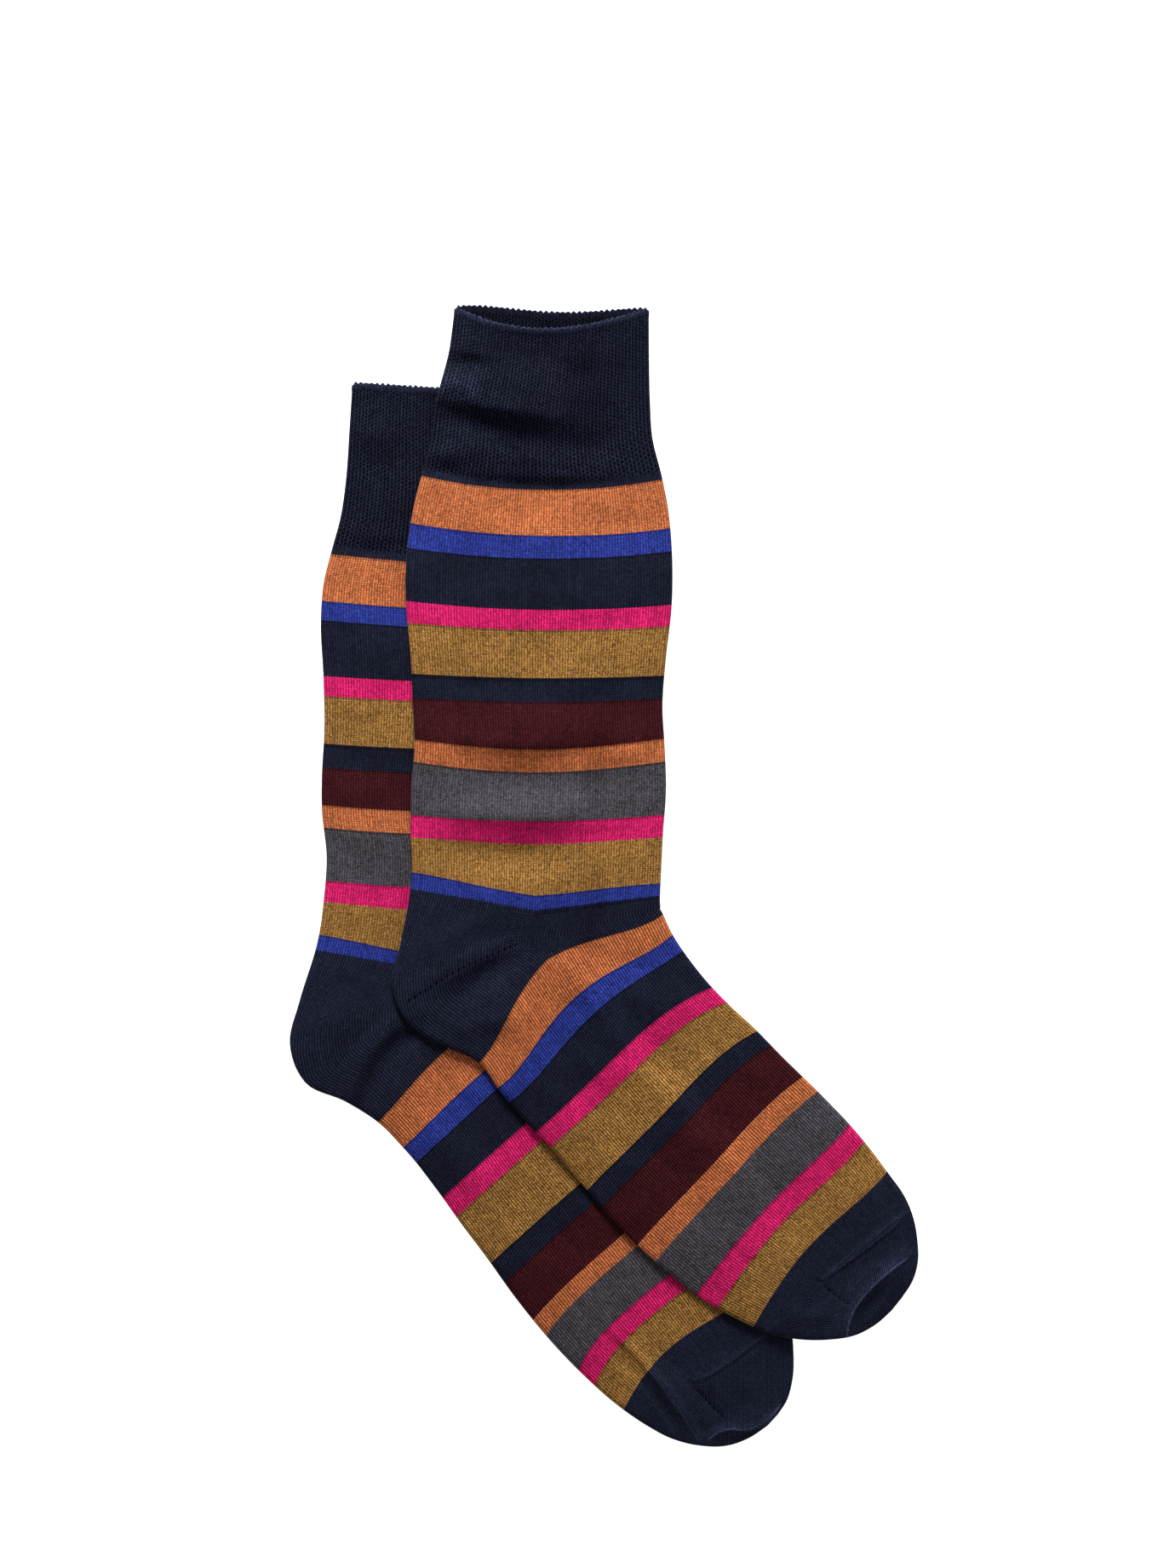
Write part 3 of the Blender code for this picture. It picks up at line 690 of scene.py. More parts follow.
def inner_face(tube, ground):
    """The rings of the inner face, and which rings of the outer one they belong to."""
    inner = tube.rings - WALL * cloth_normals(tube.rings)
    level = ground(inner[..., 0], inner[..., 1])
    above = inner[..., 2] - level
    lowest = above.copy()
    for shift in range(1, INNER_RING_STEP + 1):
        lowest[:-shift] = np.minimum(lowest[:-shift], above[shift:])
        lowest[shift:] = np.minimum(lowest[shift:], above[:-shift])
    inner[:, : TOP_COLUMNS + 1, 2] = (level + lowest)[:, : TOP_COLUMNS + 1]
    end = np.argmax(tube.depths > tube.depths[-1] - INNER_END)
    chosen = np.arange(0, end, INNER_RING_STEP)
    return inner[chosen], chosen


print("the wall is", WALL, "mm thick")

# %% [markdown]
# ## Counting stitches
#
# The colours and the relief of the knitting both need to know, at each point of the cloth, which wale
# (column of stitches) and which course (row) it is in. That is a UV map, with U in wales and V in courses,
# worked out from the rings. Three places need care.
#
# - The heel pocket is made of short rows. Its upper half grows from the leg and its lower half from the
#   foot, and they meet on the gore line, where the stitches change direction.
# - The instep crosses the ankle on just a few courses.
# - The toe is a smaller pocket of the same kind, closed by a linked seam over its top.
#
# Faces of a pocket get a large whole number added to their course. It marks them as plain navy, since no
# stripe has a course that high.

# %% Wales and courses
WALE_COUNT = 96.0  # wales across one layer of the leg
FOOT_WALES = 86.0  # and of the foot, which is knitted tighter
CUFF_COURSE = 0.70  # mm
COURSE = 0.81  # mm, height of a course in leg and foot
INSTEP_COURSES = 24.0  # courses that cross the front of the ankle, all navy
HEEL_ABOVE = 1000.0  # added to the courses of the heel above the gore line
HEEL_BELOW = 2000.0  # and below it
TOE_POCKET = 3000.0  # and of the toe
TOE_END = 4000.0  # and of the toe past its seam and gore line


def section_courses():
    """The number of the course on which each section lies, counted from the rim."""
    rows = np.array([section[1:] for section in UPPER_SECTIONS])
    across = rows[:, 2:4] - rows[:, 0:2]
    forward = np.column_stack([across[:, 1], -across[:, 0]]) / np.linalg.norm(across, axis=1)[:, None]
    middles = (rows[:, 0:2] + rows[:, 2:4]) / 2 + forward * rows[:, 5:6]
    counts = [0.0]
    for i, length in enumerate(steps_of(middles)):
        if AT["heel top"] <= i < AT["heel end"]:
            counts.append(counts[-1] + INSTEP_COURSES / (AT["heel end"] - AT["heel top"]))
        else:
            counts.append(counts[-1] + length / (CUFF_COURSE if i < AT["cuff end"] else COURSE))
    return np.round(counts)


SECTION_COURSES = section_courses()
COURSE_OF = dict(zip(AT, SECTION_COURSES.tolist()))


def courses_at(places):
    """The course at each place, where a place is counted in sections."""
    return np.interp(places, np.arange(len(SECTION_COURSES)), SECTION_COURSES)


for name in ("cuff end", "calf 1", "heel top", "heel end", "toe cap"):
    print(name, "lies on course", int(COURSE_OF[name]))

# %% Stitch coordinates of the heel and the toe
ToeShape = namedtuple("ToeShape", "seam gore wale_angle")  # seam and gore start where they meet
UPPER_TOE = ToeShape(
    np.array([(86.6, -161.2), (95.0, -153.9), (103.9, -145.7), (112.4, -138.6), (124.0, -132.2)]),
    np.array([(86.6, -161.2), (89.8, -164.6), (93.4, -167.9), (98.2, -170.5), (98.4, -190.0)]),
    -83.0,
)
LOWER_TOE = ToeShape(
    np.array([(34.2, -199.9), (45.0, -196.7), (51.2, -193.6), (59.0, -188.9), (78.0, -173.0)]),
    np.array([(34.2, -199.9), (38.0, -206.0), (44.9, -214.4), (46.0, -232.0)]),
    -90.0,
)
TOE_WALE = 0.8  # mm
TOE_COURSE = 0.72  # mm
TOE_COLUMN = TOP_COLUMNS // 3  # the column along which the courses before the toe's seam are counted
POCKET_BLEND = (0.28, 0.5)  # across the sock, where the heel's rows become those of the instep


def corners_of(grid):
    """A grid's values at the corners of its faces: this ring's point and next point, the next ring's next
    point and point."""
    return np.stack([grid[:-1, :-1], grid[:-1, 1:], grid[1:, 1:], grid[1:, :-1]], axis=2)


def closed(rings):
    """Rings whose first point follows again at their end."""
    return np.concatenate([rings, rings[:, :1]], axis=1)


def in_toe_end(toe, x, y):
    """Whether points lie past the linked seam and in front of the toe's gore line."""
    below_seam = y < np.interp(x, *toe.seam.T)
    before_gore = x > np.interp(y, *toe.gore[::-1, ::-1].T)
    return (x > toe.seam[0, 0]) & below_seam & before_gore


def stitch_corners(tube, toe):
    """U and V of the stitches at the corners of every face between two rings."""
    points = closed(tube.rings)
    lengths = np.linalg.norm(np.diff(points, axis=0), axis=2)
    share = np.append(RING_SHARES, 0.0)
    wales = np.interp(tube.places, [0, AT["heel top"], AT["heel end"]], [WALE_COUNT, WALE_COUNT, FOOT_WALES])
    past_edge = np.where(np.arange(len(share)) <= TOP_COLUMNS, share - 1, 1 - share)
    u = corners_of(WALE_COUNT + np.outer(wales, past_edge))
    v = corners_of(np.repeat(courses_at(tube.places)[:, None], len(share), axis=1))

    top, gore, end = (ring_at(tube.places, name) for name in ("heel top", "gore", "heel end"))
    pocket = (share[:-1] + share[1:]) / 2 < 0.5
    blend = smoothstep(*POCKET_BLEND, share)
    for first, last in ((top, gore), (gore, end)):
        run = np.concatenate([np.zeros((1, len(share))), np.cumsum(lengths[first:last], axis=0)])
        courses = (1 - blend) * run[-1] / COURSE + blend * INSTEP_COURSES / 2
        start = HEEL_ABOVE + COURSE_OF["heel top"]
        if first == gore:
            start = HEEL_BELOW + COURSE_OF["heel end"] - courses
        v[first:last, pocket] = corners_of(start + run / run[-1] * courses)[:, pocket]

    cap = ring_at(tube.places, "toe cap")
    corners = corners_of(points[..., :2])
    toe_end = in_toe_end(toe, *np.moveaxis(corners.mean(axis=2), 2, 0))
    toe_end[:cap] = False
    pivot_ring = cap + int(np.argmax(toe_end[cap:].any(axis=1)))
    from_back = np.linalg.norm(points[..., :2] - points[:, :1, :2], axis=2)
    tight = wales[pivot_ring] / from_back[pivot_ring, TOP_COLUMNS]
    u[pivot_ring:] = corners_of(WALE_COUNT - wales[-1] + from_back[pivot_ring:] * tight)
    toe_course = TOE_POCKET + COURSE_OF["toe cap"] + travel(points[cap:, TOE_COLUMN]) / COURSE
    v[cap:] = corners_of(np.repeat(toe_course[:, None], len(share), axis=1))

    angle = math.radians(toe.wale_angle)
    x, y = np.moveaxis(corners - toe.seam[0], 3, 0)
    u[toe_end] = ((y * math.cos(angle) - x * math.sin(angle)) / TOE_WALE)[toe_end]
    v[toe_end] = (TOE_END + (x * math.cos(angle) + y * math.sin(angle)) / TOE_COURSE)[toe_end]
    return np.stack([u, v], axis=3)


print("the toe's stitches are", TOE_WALE, "by", TOE_COURSE, "mm")

# %% [markdown]
# ## Painted highlights and shade of seams, rim and creases
#
# A linked seam, a turned rim and the crest of a sharp crease catch the light, and the floor of a deep crease
# lies in shade. Both are painted into the colour: each point of the cloth gets a number, its pull, above 0
# for painted shade and below 0 for a painted highlight. A painted mask would need an image, and a number on
# each point doesn't.

# %% Painted highlights and shade, the pull
SEAM_REACH, SEAM_HIGHLIGHT = 1.6, -0.5  # mm from a linked seam to where its painted highlight ends, and that highlight
RIM_REACH, RIM_HIGHLIGHT = 1.9, -1.2  # the same for the painted highlight along the rim
CREST_ENDS = 0.12  # of a crest's length at each end over which it fades
CREASE_LIGHT_AND_SHADE = {  # for each crease: mm from its line to where its painted light ends, and its strength, below 0 a painted highlight and above 0 painted shade
    "cuff knob": (5.5, -2.0),
    "cuff, upright shade": (12.0, 0.3),
    "cuff trough, back": (4.5, 0.35),
    "pocket fold, floor": (5.0, 0.75),
    "pinch crest": (3.6, -0.9),
    "pinch, sole side": (6.0, -0.5),
    "pinch, toe side": (6.0, -0.6),
    "crest of the toe crease": (5.0, -0.7),
    "beside the toe crease": (3.0, 0.3),
    "tip crest": (3.2, -0.7),
    "tip crest, sole": (5.0, -0.6),
}


def top_layer(tube):
    """X and Y of the points of the layer that faces up."""
    return tube.rings[:, : TOP_COLUMNS + 1, 0], tube.rings[:, : TOP_COLUMNS + 1, 1]


def painted_light_of_creases(tube, toe, creases):
    """The painted highlights and shade, the pull, at each point of the outer face."""
    pull = np.zeros(tube.rings.shape[:2])
    lines = [(toe.seam, SEAM_REACH, SEAM_HIGHLIGHT, 0.0)]
    lines += [(bent_line(fold), *CREASE_LIGHT_AND_SHADE[fold.name], CREST_ENDS) for fold in creases if fold.name in CREASE_LIGHT_AND_SHADE]
    for line, reach, strength, ends in lines:
        away, along, _ = nearest_on_path(line, *top_layer(tube))
        near = fading(away, reach)
        if ends:
            near = near * np.clip(np.minimum(along, 1 - along) / ends, 0, 1)
        pull[:, : TOP_COLUMNS + 1] += strength * near
    return pull + RIM_HIGHLIGHT * fading(tube.depths, RIM_REACH)[:, None]


# the count of creases that carry painted highlights and painted shade
print(len(CREASE_LIGHT_AND_SHADE), "creases pull on their loops")

# %% [markdown]
# The finest lines are narrower than a face of the grid: the painted highlight on the crest of a sharp crease
# or the ridge of a seam, the painted shade in a seam's groove, the little dark holes of a gore line. A
# strength on each point can't draw them, but the distance to the line can, if it is above 0 on one side and
# below 0 on the other. It runs evenly through 0 between two points, and the material draws a line of any
# width where it is near 0. So each point gets two such pairs of numbers, the distance and the strength: one
# for the nearest line of painted highlight and one for the nearest line of holes and painted shade.

# %% Fine lines
LINE_FULL = 1.0  # mm from a fine line up to which its strength is stored in full
LINE_STRAY = 3.0  # mm from it where that strength has gone down to 0
LINE_FADE = 2.5  # mm over which it fades at its ends
GORE_SPAN = (0.03, 0.49)  # across the sock, where the heel's gore line starts and ends
UPPER_GORE, LOWER_GORE = 1.5, 0.15  # strength of that line on each sock
FINE_LINES = {  # the strength of the line that each of these creases carries: painted highlights on crests and seam ridges, holes and painted shade in grooves, the knot and the toe's gore
    "painted_highlight": {
        "linked seam": 0.7,
        "linked seam, lower sock": 0.6,
        "second ridge": 1.2,
        "pinch crest": 3.0,
        "tip crest": 2.6,
        "tip crest, sole": 2.6,
        "crest of the toe crease": 0.7,
    },
    "holes_and_painted_shade": {"seam groove": 0.7, "seam groove, lower sock": 0.6, "toe knot": 1.6, "toe gore": 1.6},
}


def fine_line_fields(tube, creases, gore_strength):
    """For each kind of fine line the distance and the strength at every point of the outer face."""
    first, last = (round(share * TOP_COLUMNS) for share in GORE_SPAN)
    gore_line = tube.rings[ring_at(tube.places, "gore"), first : last + 1, :2]
    fields = {}
    for kind, strengths in FINE_LINES.items():
        lines = [(bent_line(fold), strengths[fold.name]) for fold in creases if fold.name in strengths]
        if kind == "holes_and_painted_shade":
            lines.append((gore_line, gore_strength))
        field = np.zeros((*tube.rings.shape[:2], 3), np.float32)
        nearest = np.full((len(field), TOP_COLUMNS + 1), np.inf)
        for path, strength in lines:
            away, along, side = nearest_on_path(path, *top_layer(tube))
            ends = np.clip(np.minimum(along, 1 - along) * steps_of(path).sum() / LINE_FADE, 0, 1)
            near = np.clip((LINE_STRAY - away) / (LINE_STRAY - LINE_FULL), 0, 1)
            closer = away < nearest
            nearest[closer] = away[closer]
            pair = np.dstack([away * side, strength * ends * near])
            field[:, : TOP_COLUMNS + 1, :2][closer] = pair[closer]
        fields[kind] = field
    return fields


print(sum(map(len, FINE_LINES.values())), "names of creases carry a fine line")

# %% [markdown]
# ## One closed mesh for each sock
#
# The rows of the grid run from the toe up inside the sock, over the lip, and down outside to the toe
# again. Building it from arrays keeps it quick: one list of points, one list of quads, and a small fan of
# triangles that closes each end. A second UV map unrolls the same grid onto one square without overlaps,
# for whoever wants to paint or bake the sock.

# %% Maps of the mesh
OUTER_SHARE = 0.74  # of the bake map's width for the outer face, the rest for the inner one
BAKE_MARGIN = 0.01  # round each of the two
BAKE_COLUMN = 40  # the column of the grid whose length is unrolled
POLE = 0.004  # how far a fan of triangles reaches past the grid in either map


def unrolled(run, low, high):
    """Corners of a grid's faces, spread between two U of the bake map, with V by the length run."""
    u = np.linspace(low + BAKE_MARGIN, high - BAKE_MARGIN, len(RING_SHARES) + 1)
    v = BAKE_MARGIN + (1 - 2 * BAKE_MARGIN) * (run - run[0]) / (run[-1] - run[0])
    return corners_of(np.dstack(np.meshgrid(u, v)))


def add_map(mesh, name, faces):
    """A UV map from the corners of the grid's faces. The two fans follow them."""
    parts = [faces]
    for edge, pole in ((faces[0][:, [1, 0]], -POLE), (faces[-1][:, [3, 2]], POLE)):
        parts.append(np.concatenate([edge, edge.mean(axis=1, keepdims=True) + (0.0, pole)], axis=1))
    uv = np.concatenate([part.reshape(-1) for part in parts]).astype(np.float32)
    mesh.uv_layers.new(name=name).data.foreach_set("uv", uv)


print("the outer face takes", round(100 * OUTER_SHARE), "% of the bake map")

# %% Build the mesh
def build_sock(name, tube, toe, creases, gore_strength, ground):
    """The sock's object, with its two maps, its painted highlights and shade (the pull) and its fine lines.
    """
    outer = tube.rings
    inner, chosen = inner_face(tube, ground)
    if ground is flat_surface:
        inner[..., 2] = np.maximum(inner[..., 2], WALL)
    outwards = outer[0] - outer[2]
    outwards /= np.linalg.norm(outwards, axis=1, keepdims=True)
    lip = lip_between(inner[0], outer[0], outwards)
    grid = np.concatenate([inner[::-1], lip, outer])
    rows, columns = grid.shape[:2]
    start = rows - len(outer)

    numbers = closed(np.arange(rows * columns).reshape(rows, columns))
    poles = np.repeat([[rows * columns], [rows * columns + 1]], columns, axis=1)
    fans = [(numbers[0, 1:], numbers[0, :-1], poles[0]), (numbers[-1, :-1], numbers[-1, 1:], poles[1])]
    faces = corners_of(numbers).reshape(-1, 4).tolist()
    faces += [corners for fan in fans for corners in np.column_stack(fan).tolist()]
    points = np.concatenate([grid.reshape(-1, 3), [grid[0].mean(axis=0), grid[-1].mean(axis=0)]])
    mesh = bpy.data.meshes.new(name)
    mesh.from_pydata((points * MM).tolist(), [], faces)

    inner_u = WALE_COUNT * np.concatenate([TOP_SHARES, 2 - UNDER_SHARES, [2.0]])
    inner_v = np.append(courses_at(tube.places[chosen])[::-1], np.zeros(LIP_RINGS + 1))
    inner_stitches = corners_of(np.dstack(np.meshgrid(inner_u, inner_v)))
    add_map(mesh, "stitches", np.concatenate([inner_stitches, stitch_corners(tube, toe)]))
    run = travel(grid[:, BAKE_COLUMN])
    halves = unrolled(run[: start + 1], OUTER_SHARE, 1.0), unrolled(run[start:], 0.0, OUTER_SHARE)
    add_map(mesh, "OFBake", np.concatenate(halves))
    mesh.uv_layers["stitches"].active_render = True
    mesh.uv_layers.active = mesh.uv_layers["stitches"]

    # the pull: painted highlights on seam, rim and crests, painted shade in crease floors; the lip takes the
    # rim's
    pull = np.zeros((rows, columns), np.float32)
    pull[start:] = painted_light_of_creases(tube, toe, creases)
    pull[len(inner) : start] = pull[start]
    pull = np.append(pull, [0.0, 0.0]).astype(np.float32)
    mesh.attributes.new("pull", "FLOAT", "POINT").data.foreach_set("value", pull)
    for kind, field in fine_line_fields(tube, creases, gore_strength).items():
        values = np.zeros((len(points), 3), np.float32)
        values[start * columns : rows * columns] = field.reshape(-1, 3)
        mesh.attributes.new(kind, "FLOAT_VECTOR", "POINT").data.foreach_set("vector", values.reshape(-1))
    inside = np.repeat(np.arange(rows - 1) < len(inner) - 1, columns)
    inside = np.concatenate([inside, np.ones(columns, bool), np.zeros(columns, bool)])
    mesh.polygons.foreach_set("material_index", inside.astype(np.int32))
    mesh.update()
    mesh.shade_smooth()
    sock = bpy.data.objects.new(name, mesh)
    bpy.context.scene.collection.objects.link(sock)
    return sock


look = (UPPER_TOE, UPPER_CREASES, UPPER_GORE)
upper_sock = build_sock("upper_sock_knit", upper_tube, *look, over_lower_sock)
look = (LOWER_TOE, LOWER_CREASES, LOWER_GORE)
lower_sock = build_sock("lower_sock_knit", lower_tube, *look, flat_surface)
print("built", upper_sock.name, "and", lower_sock.name)

# %% Turn the faces outwards
def signed_volume(mesh):
    """The volume a closed mesh holds, below 0 if its faces point inwards."""
    mesh.calc_loop_triangles()
    corners = np.array([[mesh.vertices[i].co for i in t.vertices] for t in mesh.loop_triangles])
    return float(np.einsum("ij,ij->i", corners[:, 0], np.cross(corners[:, 1], corners[:, 2])).sum() / 6)


for sock in (upper_sock, lower_sock):
    volume = signed_volume(sock.data)
    if volume < 0:
        sock.data.flip_normals()
    print(sock.name, len(sock.data.polygons), "faces,", round(abs(volume) * 1e9), "cubic mm")

# %% [markdown]
# ## The stripes
#
# The socks are striped in six colours and navy, between a plain navy cuff, heel and toe. A machine changes
# yarn only between two courses, so a stripe is best given as a number of courses. Broad and narrow bands
# take turns. Both socks are knitted to one plan, so they share it.

# %% Yarn colours and stripe plan
YARNS = {  # red, green, blue, and how strongly the yarn is heathered
    "navy": (0.0119, 0.0138, 0.0286, 0.3),
    "mustard": (0.325, 0.160, 0.043, 1.0),
    "cobalt": (0.026, 0.042, 0.270, 0.5),
    "pink": (0.690, 0.0175, 0.143, 0.15),
    "burgundy": (0.051, 0.0090, 0.0122, 0.3),
    "grey": (0.073, 0.067, 0.079, 0.8),
    "orange": (0.520, 0.150, 0.055, 0.5),
}
BROAD, NARROW = 24, 11  # courses of a band
BAND_ORDER = "orange cobalt navy pink mustard navy burgundy orange grey pink".split()
BANDS = [(yarn, NARROW if i % 2 else BROAD) for i, yarn in enumerate(BAND_ORDER)]
LEG_BANDS = [*BANDS, ("mustard", BROAD), ("cobalt", 9)]
FOOT_BANDS = [*BANDS, ("mustard", 18)]
for part, bands in (("leg", LEG_BANDS), ("foot", FOOT_BANDS)):
    print(part, "bands take", sum(courses for _, courses in bands), "courses")

# %% [markdown]
# ## The knitted material
#
# At arm's length a fine sock reads as thin upright lines with a dark gap between them, and at a band's
# edge as tiny teeth. Both come from the V of the plain stitch: two short threads that lean together. So
# the material first finds where in its V a point is, then everything else follows from that:
#
# - `side` is 0 in the middle of a wale and 1 at its sides,
# - the course is read off after a slant by `side`, so that each course runs in a zigzag,
# - `thread` is the roundness of the yarn across its own run, `loop` is the finished height.
#
# The colour then is the yarn of that course, darker down in the gaps, where dark yarn shows and shade is
# painted in, and a little different from stitch to stitch, as dyed cotton is. The cuff is knitted another
# way: an elastic mock rib, whose held stitches make a mesh of small hollows, every other one set half a step
# along.
#
# Each + and * on the output of a node is a Math node of its own. A small class that stands for such an
# output keeps the formulas readable: its + and * add the node, link it and give back the result.

# %% Node helpers
def feed(node, inputs):
    """Links or sets the inputs of a node, which are given by name or number."""
    for place, term in inputs.items():
        if isinstance(term, Value):
            node.id_data.links.new(term.socket, node.inputs[place])
        else:
            node.inputs[place].default_value = term


def add_node(tree, kind, inputs, output=0, **settings):
    """The value of one output of a new node."""
    node = tree.nodes.new("ShaderNode" + kind)
    for name, setting in settings.items():
        setattr(node, name, setting)
    feed(node, inputs)
    return Value(node.outputs[output])


class Value:
    """The output of a node, for use in formulas."""

    def __init__(self, socket):
        self.socket = socket
        self.tree = socket.id_data

    def math(self, operation, *others):
        return add_node(self.tree, "Math", dict(enumerate((self, *others))), operation=operation)

    def __add__(self, other):
        return self.math("ADD", other)

    def __mul__(self, other):
        return self.math("MULTIPLY", other)

    def scaled(self, factor, base):
        """This value times a factor, plus a base."""
        return self.math("MULTIPLY_ADD", factor, base)

    def clamped(self):
        return self.math("MAXIMUM", 0.0).math("MINIMUM", 1.0)


def combined(x, y, z=0.0):
    """A vector of three values."""
    return add_node(x.tree, "CombineXYZ", {0: x, 1: y, 2: z})


def blended(share, low, high):
    """low where share is 0 and high where it is 1, for numbers."""
    return add_node(share.tree, "Mix", {0: share, 2: low, 3: high}, 0, data_type="FLOAT")


def tinted(mode, share, first, second):
    """Two colours mixed in a given mode."""
    settings = {"data_type": "RGBA", "blend_type": mode}
    return add_node(first.tree, "Mix", {0: share, 6: first, 7: second}, 2, **settings)


print("node helpers are ready")

# %% Stripes as nodes
EDGE_GAP = 0.62  # how dark the stitches at a change of yarn are
RAMP_MARGIN = 12.0  # courses of navy before the first band and after the last one
ANKLE_MIDDLE = 6.0  # courses below the heel's top, where the foot's bands take over from the leg's


def ramp(place, stops):
    """The colour and the fourth number of a ramp with hard steps. Each stop is a start and four numbers."""
    node = place.tree.nodes.new("ShaderNodeValToRGB")
    node.color_ramp.interpolation = "CONSTANT"
    elements = node.color_ramp.elements
    elements[0].position, elements[0].color = stops[0]
    elements.remove(elements[1])
    for start, numbers in stops[1:]:
        elements.new(start).color = numbers
    feed(node, {0: place})
    return Value(node.outputs[0]), Value(node.outputs[1])


def bands_at(course, bands, first):
    """For bands that start on the course first: their colour and heather, and the darker edges."""
    length = sum(courses for _, courses in bands) + 2 * RAMP_MARGIN
    start = RAMP_MARGIN
    colours, edges = [(0.0, YARNS["navy"])], [(0.0, (1.0,) * 4)]
    for yarn, courses in [*bands, ("navy", 0)]:
        colours.append((start / length, YARNS[yarn]))
        edges += [(start / length, (EDGE_GAP,) * 4), ((start + 1) / length, (1.0,) * 4)]
        start += courses
    place = (course + (RAMP_MARGIN + 0.5 - first)).math("DIVIDE", length)
    return *ramp(place, colours), ramp(place, edges)[1]


def stripe_colour(course):
    """The yarn's colour, how heathered it is, and its darkening at a given course. The slanted stitches
    of a pocket's first course reach back over its edge, where they take the stripes' last course."""
    for pocket, start in ((HEEL_ABOVE, "heel top"), (TOE_POCKET, "toe cap")):
        tooth = course.math("COMPARE", pocket + COURSE_OF[start] - 1.0, 0.5)
        course = tooth.scaled(-pocket, course)
    leg, leg_heather, leg_edge = bands_at(course, LEG_BANDS, COURSE_OF["calf 1"])
    foot, foot_heather, foot_edge = bands_at(course, FOOT_BANDS, COURSE_OF["heel end"])
    on_foot = course.math("GREATER_THAN", COURSE_OF["heel top"] + ANKLE_MIDDLE)
    heather = blended(on_foot, leg_heather, foot_heather)
    return tinted("MIX", on_foot, leg, foot), heather, blended(on_foot, leg_edge, foot_edge)


print("navy is", YARNS["navy"][:3])

# %% Height of the loops
# Each pair of numbers is a factor, and what is added after it.
THREAD_SWELL = (0.75, 0.25)
GAP_CURVE = 1.3  # the higher, the narrower the gap between two wales
CLEFT = (1.4, 0.62)  # how a V rises from the cleft in its middle to its sides
LEG_CONTRAST = 0.66  # how much of that relief the looser stitches of the leg keep
LEG_LEVEL = 0.38  # the height that stays the same there
CUFF_RIB = 1.6  # wales from one rib of the cuff to the next
RIB_HEIGHT = (0.26, 0.44)
HOLLOW_CURVE = 1.5  # the higher, the smaller the hollows of the mock rib
CUFF_THREAD = (0.8, 0.49)
CUFF_FADE = 2.0  # courses over which the cuff's stitches give way to the leg's
WELT_COURSES = 3.0  # at the rim, over which the cloth gets smoother
WELT_HEIGHT = (0.3, 0.32)


def loop_height(wale, row, side, thread):
    """The height of a loop, 0 in a gap and 1 on top, and how much it belongs to the cuff."""
    gap = side.math("POWER", GAP_CURVE).scaled(-1.0, 1.0)
    plain = thread.scaled(*THREAD_SWELL) * gap * side.scaled(*CLEFT).math("MINIMUM", 1.0)
    on_leg = row.math("LESS_THAN", COURSE_OF["heel top"] - 1.0)
    looser = plain.scaled(LEG_CONTRAST, LEG_LEVEL * (1 - LEG_CONTRAST))
    plain = blended(on_leg, plain, looser)
    mesh = (wale * (math.pi / CUFF_RIB)).math("SINE") * (row * math.pi).math("COSINE")
    solid = mesh.scaled(-0.5, 0.5).math("POWER", HOLLOW_CURVE).scaled(-1.0, 1.0)
    rib = (wale * (2 * math.pi / CUFF_RIB)).math("COSINE").scaled(*RIB_HEIGHT)
    cuff = rib * solid * thread.scaled(*CUFF_THREAD)
    in_cuff = row.scaled(-1 / CUFF_FADE, (COURSE_OF["calf 1"] - 1.0) / CUFF_FADE).clamped()
    in_welt = row.scaled(-1.0, WELT_COURSES).clamped()
    return blended(in_welt, blended(in_cuff, plain, cuff), cuff.scaled(*WELT_HEIGHT)), in_cuff


print("the cuff has", round(WALE_COUNT / CUFF_RIB), "ribs on each layer")

# %% Grain of the yarn
DARK_FIBRES = 0.22  # of all quarters of stitches in heathered yarn
HEATHER_DARK = (-0.42, 1.08)  # pairs: a factor, and what is added after it
HEATHER_MOTTLE = (0.2, 0.9)
HEATHER_FLECK = (-0.12, 1.0)
MOTTLE_SCALE, MOTTLE_DETAIL = 0.62, 1.0  # soft patches of one or two stitches
STREAK_WALES, STREAK_COURSES = 0.19, 0.83  # streaks are longer along a course than across it
STREAK_DETAIL = 1.5
FLECK_LEVEL, FLECK_EDGE = 0.55, 5.0  # where in the streaks a fleck starts, and how sharply
STITCH_GRAIN = (0.44, 0.78)
FIBRE_GRAIN = (0.5, 0.75)
CUFF_GRAIN = (1.2, 0.4)


def random_cells(u, v):
    """A random number for each unit square of u and v."""
    cell = combined(u.math("FLOOR"), v.math("FLOOR"))
    return add_node(u.tree, "TexWhiteNoise", {"Vector": cell}, "Value", noise_dimensions="2D")


def soft_noise(vector, scale, detail, dimensions="2D"):
    """A smooth noise between 0 and 1."""
    inputs = {"Vector": vector, "Scale": scale, "Detail": detail}
    return add_node(vector.tree, "TexNoise", inputs, noise_dimensions=dimensions)


def yarn_grain(stitches, wale, row, slanted, in_cuff, heather):
    """The factor by which stitches, fibres and heather change the brightness."""
    fibre = random_cells(wale * 2.0, slanted * 2.0)
    fine = blended(in_cuff, fibre.scaled(*FIBRE_GRAIN), fibre.scaled(*CUFF_GRAIN))
    grain = random_cells(wale, slanted).scaled(*STITCH_GRAIN) * fine
    streak = soft_noise(combined(wale * STREAK_WALES, row * STREAK_COURSES), 1.0, STREAK_DETAIL)
    fleck = ((streak + -FLECK_LEVEL) * FLECK_EDGE).clamped()
    heathered = fibre.math("LESS_THAN", DARK_FIBRES).scaled(*HEATHER_DARK)
    heathered *= soft_noise(stitches, MOTTLE_SCALE, MOTTLE_DETAIL).scaled(*HEATHER_MOTTLE)
    heathered *= fleck.scaled(*HEATHER_FLECK)
    return grain * blended(heather, 1.0, heathered)


print("one in", round(1 / DARK_FIBRES, 1), "quarters of stitches in heathered yarn is dark")

